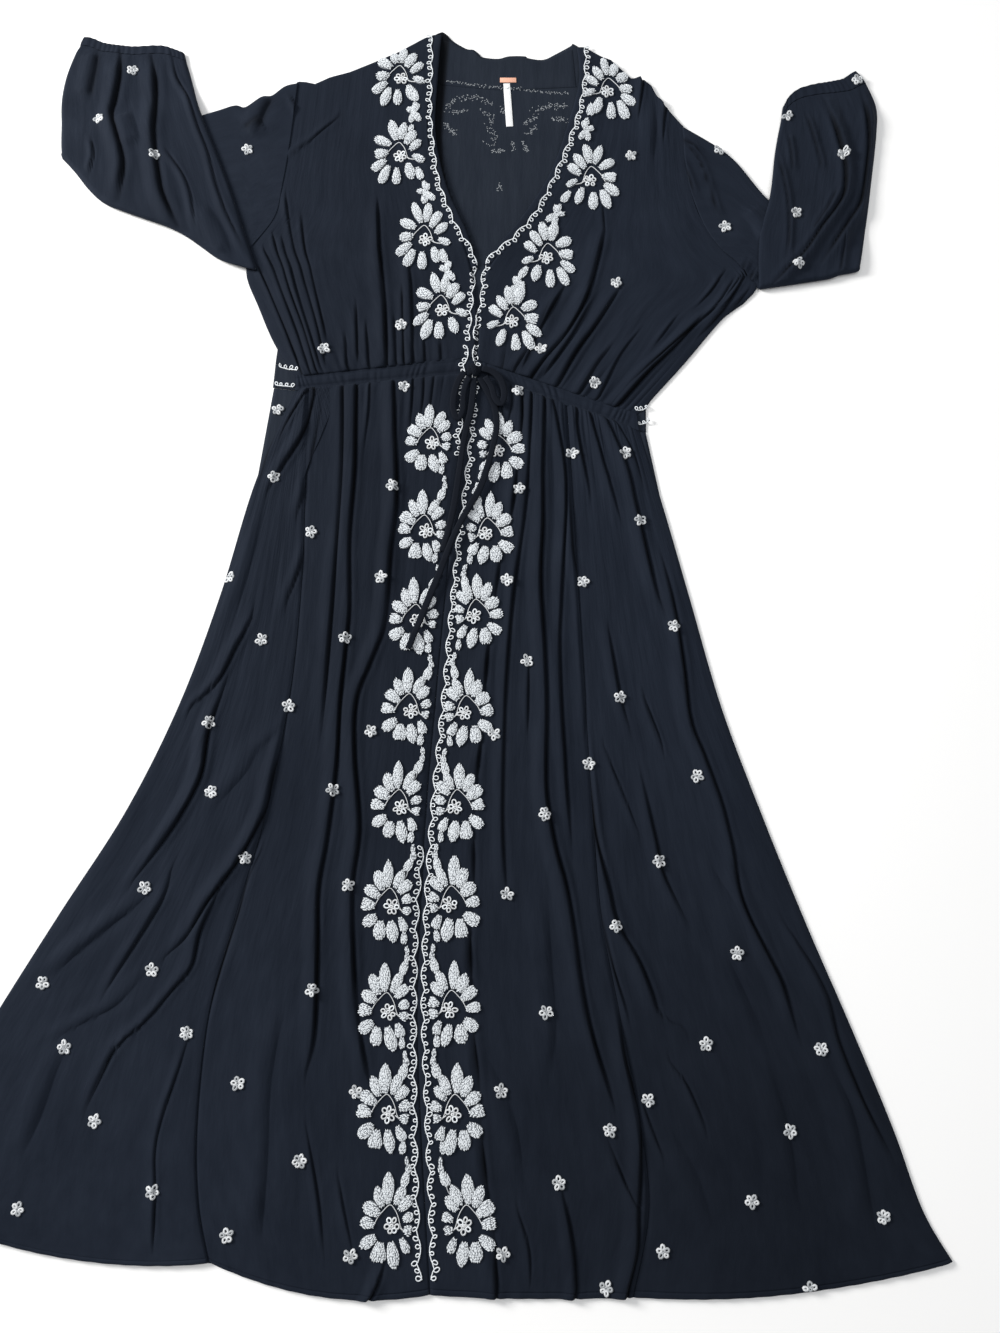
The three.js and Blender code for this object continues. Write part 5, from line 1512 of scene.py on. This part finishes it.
def garland(work, centre, after, mirror, leaves):
    """Leaves and a stem from one flower to the next, on the side of the centre line."""
    down = math.atan2(after[1] - centre[1], after[0] - centre[0])

    def beside(share, reach):
        return (centre[0] + (after[0] - centre[0]) * share - reach * mirror,
                centre[1] + (after[1] - centre[1]) * share)

    for share, reach, turn, length, width, point in leaves:
        way = down + math.radians(turn) * mirror + rng.uniform(-0.12, 0.12)
        width *= rng.uniform(0.9, 1.1)
        work.petal(beside(share, reach), way, length, width, point, height=LEAF_HEIGHT)
    work.thread(even([beside(*place) for place in GARLAND_STEM], 1.5), 0.6, 0.5, material=2)


FLOWER_SEEDS = {"left": 0, "right": 50}
for side_name, centres in FLOWERS.items():
    mirror = -1 if side_name == "left" else 1
    work = Stitching()
    for number, centre in enumerate(centres):
        at_neck = number < NECK_FLOWERS
        petals = NECK_PETALS if at_neck else SKIRT_PETALS
        large_flower(work, centre, mirror, number + FLOWER_SEEDS[side_name], petals)
        if number + 1 not in (NECK_FLOWERS, len(centres)):
            garland(work, centre, centres[number + 1], mirror, NECK_GARLAND if at_neck else GARLAND)
    nodes = [f"flower_{side_name}_{k:02d}" for k in range(1, len(centres) + 1)]
    threads = [THREAD, THREAD_SHADE, THREAD_MID, THREAD_LOOP]
    work.piece(f"embroidery_{side_name}", threads, "chain_stitch", *nodes)

# Where the neck's border passes into the skirt's, up the dress in mm.
NECK_BORDER_END = 262.0
# Stretch up the dress, in mm, over which each border is turned under the placket's edge.
HIDDEN_BORDER = {"left": (135.0, -250.0), "right": (-700.0, -700.0)}
work = Stitching()
for side_name, pixels in BORDERS.items():
    line = even([seen(x, y) for x, y in pixels], 2.5)
    side = -1 if side_name == "left" else 1
    neck = line[line[:, 1] > NECK_BORDER_END]
    work.thread(pigtails(neck, pitch=7.4, size=2.3, scallop=22.0, sag=3.0, side=side), 0.58, 0.6)
    down = line[len(neck) - 1:]
    hidden = HIDDEN_BORDER[side_name]
    for part in (down[down[:, 1] > hidden[0]], down[down[:, 1] < hidden[1]]):
        if len(part) > 3:
            work.thread(pigtails(part, pitch=6.6, size=2.2, scallop=26.0, sag=3.8, side=side), 0.6, 0.6)
for pixels in WAISTBAND_LOOPS:
    line = even([pixel_place(x, y, 2.0) for x, y in pixels], 2.0)
    work.thread(pigtails(line, pitch=5.5), 0.6, 0.6)
work.piece("looped_borders", [THREAD], "chain_stitch")

work = Stitching()
for number, (x, y) in enumerate(SMALL_FLOWERS):
    place = seen(x, y)
    turn = number * 1.9
    count = 5 + (number % 7 == 4)
    work.loops(place, count, 3.7, 1.75, turn, radius=1.2, lift=0.9, materials=(0, 1, 0, 0, 1))
    work.loops(place, 1, 0.0, 1.2, 0.0, radius=1.0, lift=1.0, materials=(1,))
work.piece("small_flowers", [THREAD_LOOP, THREAD_MID], "chain_stitch")

# Reverse of the stitching inside the back neck: arcs of specks, in pixels, their number, and scatter in mm.
REVERSE_ARCS = [
    ([(447, 81), (474, 85), (501, 88), (517, 89), (541, 92), (569, 94)], 120, 0.9),
    ([(446, 109), (455, 100), (479, 98), (492, 105)], 75, 1.7),
    ([(452, 113), (466, 110)], 26, 1.4),
    ([(445, 123), (455, 134)], 40, 1.5),
    ([(481, 112), (493, 116), (488, 128), (496, 139), (485, 144)], 64, 2.2),
    ([(501, 109), (504, 112)], 14, 1.6),
    ([(493, 152), (504, 150)], 34, 1.5),
    ([(512, 142), (513, 150)], 18, 1.5),
    ([(523, 142), (528, 152)], 30, 1.3),
    ([(525, 123), (536, 117)], 32, 1.7),
    ([(528, 134), (536, 127)], 24, 1.3),
    ([(535, 110), (550, 106), (567, 106)], 66, 2.0),
    ([(552, 119), (566, 120)], 34, 1.6),
    ([(498, 190), (501, 186), (503, 189)], 16, 1.6),
]
work = Stitching()
for pixels, count, scatter in REVERSE_ARCS:
    line = even([seen(x, y) for x, y in pixels], 1.0)
    for k in range(count):
        x, y = line[int(k / count * len(line))]
        x += rng.gauss(0, scatter)
        y += rng.gauss(0, scatter)
        work.stitch(x, y, lie(x, y) + 0.1, rng.uniform(0, math.pi), 1.9, 0.9, 0.35)
work.piece("reverse_stitches", [THREAD_BACK], "chain_stitch")


CORD_STEP = 2.0


def cord_points(route, width, thick, sides=12):
    """Rings of a flat cord along a route in mm, and the route's fine points."""
    line = even(route, CORD_STEP)
    way = np.gradient(line, axis=0)
    way /= np.linalg.norm(way, axis=1, keepdims=True)
    across = np.stack([-way[:, 1], way[:, 0], np.zeros(len(way))], axis=1)
    across /= np.maximum(np.linalg.norm(across, axis=1, keepdims=True), 1e-9)
    up = np.cross(way, across)
    up *= np.sign(up[:, 2:3])
    turns = np.linspace(0, 2 * math.pi, sides, endpoint=False)
    run = np.arange(len(line)) * CORD_STEP
    wide = width / 2 * (1 + 0.07 * np.sin(run / 17))
    groove = 1 - 0.35 * np.exp(-((np.cos(turns) / 0.25) ** 2))
    section = np.stack([np.cos(turns), np.sin(turns) * groove], axis=1)
    rings = (
        line[:, None, :]
        + across[:, None, :] * (wide[:, None] * section[None, :, 0])[..., None]
        + up[:, None, :] * (thick / 2 * section[None, :, 1])[..., None]
    )
    return rings, line


def tube_object(name, rings, material):
    """A closed tube through rings of points in mm."""
    rows, around = rings.shape[:2]
    flat = rings.reshape(-1, 3)
    faces = grid_faces(rows, around, True).tolist()
    faces.append(list(range(around))[::-1])
    faces.append([(rows - 1) * around + k for k in range(around)])
    steps = np.linalg.norm(np.diff(rings.mean(axis=1), axis=0), axis=1)
    run = np.concatenate([[0], np.cumsum(steps)])
    uv = np.stack([np.tile(np.arange(around) * 1.1, rows), np.repeat(run, around)], axis=1)
    return mesh_object(name, flat, faces, [material], uv=uv)


def on_cloth(route, gap):
    """A route raised where the cloth stands higher."""
    return [(x, y, max(z, lie(x, y) + gap)) for x, y, z in route]


for name, route in TIES.items():
    rings, line = cord_points(on_cloth(route, TIE_GAP), TIE_WIDTH, TIE_THICK)
    piece = settle(tube_object(f"{name}_cord", rings, TIE_CLOTH), "tie_cloth", name)
    run = float(np.linalg.norm(np.diff(line, axis=0), axis=1).sum()) * MM


def pick(*objects):
    """Selects the objects alone, with the last one active."""
    bpy.ops.object.select_all(action="DESELECT")
    for obj in objects:
        obj.select_set(True)
        bpy.context.view_layer.objects.active = obj


def apply_all(obj):
    """Applies the modifiers of one object."""
    pick(obj)
    for modifier in list(obj.modifiers):
        bpy.ops.object.modifier_apply(modifier=modifier.name)


def apply_place(obj):
    """Puts an object's place, turn and size into its mesh."""
    pick(obj)
    bpy.ops.object.transform_apply(location=True, rotation=True, scale=True)


def knot():
    """The bow's knot: a soft core with a band wrapped over it."""
    place = [c * MM for c in KNOT_PLACE]
    pick()
    bpy.ops.mesh.primitive_uv_sphere_add(segments=28, ring_count=16, radius=0.5 * MM, location=place)
    core = bpy.context.object
    core.name = "bow_knot"
    core.scale = (KNOT_SIZE[0], KNOT_SIZE[1] * 0.85, KNOT_SIZE[2] * 0.8)
    apply_place(core)
    pick()
    bpy.ops.mesh.primitive_torus_add(
        major_segments=36, minor_segments=10, major_radius=KNOT_BAND[0] * MM, minor_radius=KNOT_BAND[1] * MM,
        location=place, rotation=(0, math.radians(90), math.radians(KNOT_LEAN)),
    )
    band = bpy.context.object
    band.scale = KNOT_BAND_SCALE
    apply_place(band)
    pick(band, core)
    bpy.ops.object.join()
    bpy.ops.object.shade_smooth()
    core.data.materials.clear()
    core.data.materials.append(TIE_CLOTH)
    return core


settle(knot(), "tie_cloth", "tie_knot")


def tape(name, x_low, x_high, y_low, y_high, lean, level, thick, material, slot):
    """A short tape on the cloth: a bevelled slab."""
    size = ((x_high - x_low) * MM, (y_high - y_low) * MM, thick * MM)
    place = ((x_low + x_high) / 2 * MM, (y_low + y_high) / 2 * MM, (level + thick / 2) * MM)
    pick()
    bpy.ops.mesh.primitive_cube_add(size=1, location=place, rotation=(0, 0, math.radians(lean)))
    obj = bpy.context.object
    obj.name = f"{name}_tape"
    obj.scale = size
    apply_place(obj)
    soften = obj.modifiers.new("Soften", "BEVEL")
    soften.width = thick * 0.3 * MM
    soften.segments = 2
    apply_all(obj)
    bpy.ops.object.shade_smooth_by_angle(angle=math.radians(40))
    obj.data.materials.append(material)
    settle(obj, slot, name)


# The neck label's tapes on the cloth: left, right, bottom and top in mm, lean in degrees, level, thickness.
tape("label_tab", 65, 83, 579, 585, 0, lie(74, 582), 0.9, LABEL_TAB, "label_tape")
tape("label_strip", 70.2, 77.8, 524, 578.6, 3.5, lie(74, 560), 0.8, LABEL_STRIP, "label_ribbon")

# Floor, light and camera, in metres.
FLOOR_SIZE = 8.0
FLOOR_DROP = 0.0004
FLOOR_COLOUR = (0.93, 0.93, 0.93)
WORLD_STRENGTH = 0.40
pick()
bpy.ops.mesh.primitive_plane_add(size=FLOOR_SIZE, location=(0, 0, -FLOOR_DROP))
floor = bpy.context.object
floor.name = "floor"
floor.data.materials.append(new_material("pale floor", FLOOR_COLOUR, 0.9)[0])

world = bpy.data.worlds.new("studio")
bpy.context.scene.world = world
world.use_nodes = True
sky = world.node_tree.nodes["Background"]
sky.inputs["Color"].default_value = colour(1.0, 1.0, 1.0)
sky.inputs["Strength"].default_value = WORLD_STRENGTH

# Lights: place and what they face in metres, size, power, colour.
LIGHTS = [
    ("key", (-2.4, 1.0, 1.35), (0.0, -0.05, 0.0), 0.9, 118.0, (1.0, 0.985, 0.96)),
    ("fill", (0.3, 0.2, 2.4), (0.0, 0.0, 0.0), 2.4, 22.0, (0.96, 0.98, 1.0)),
]
for name, place, target, size, power, tint in LIGHTS:
    data = bpy.data.lights.new(name, "AREA")
    data.size = size
    data.energy = power
    data.color = tint
    lamp = bpy.data.objects.new(name, data)
    lamp.location = place
    lamp.rotation_euler = (Vector(target) - Vector(place)).to_track_quat("-Z", "Y").to_euler()
    bpy.context.scene.collection.objects.link(lamp)

camera_data = bpy.data.cameras.new("camera")
camera_data.sensor_fit = "AUTO"
camera_data.sensor_width = SENSOR
camera_data.lens = SENSOR * PHOTO_FOCAL / PHOTO_LONG_SIDE
camera_data.clip_start = 0.01
camera = bpy.data.objects.new("camera", camera_data)
camera.location = CAMERA_PLACE
camera.rotation_euler = (CAMERA_TILT, 0.0, 0.0)
bpy.context.scene.collection.objects.link(camera)
bpy.context.scene.camera = camera
bpy.context.scene.view_settings.view_transform = "Standard"
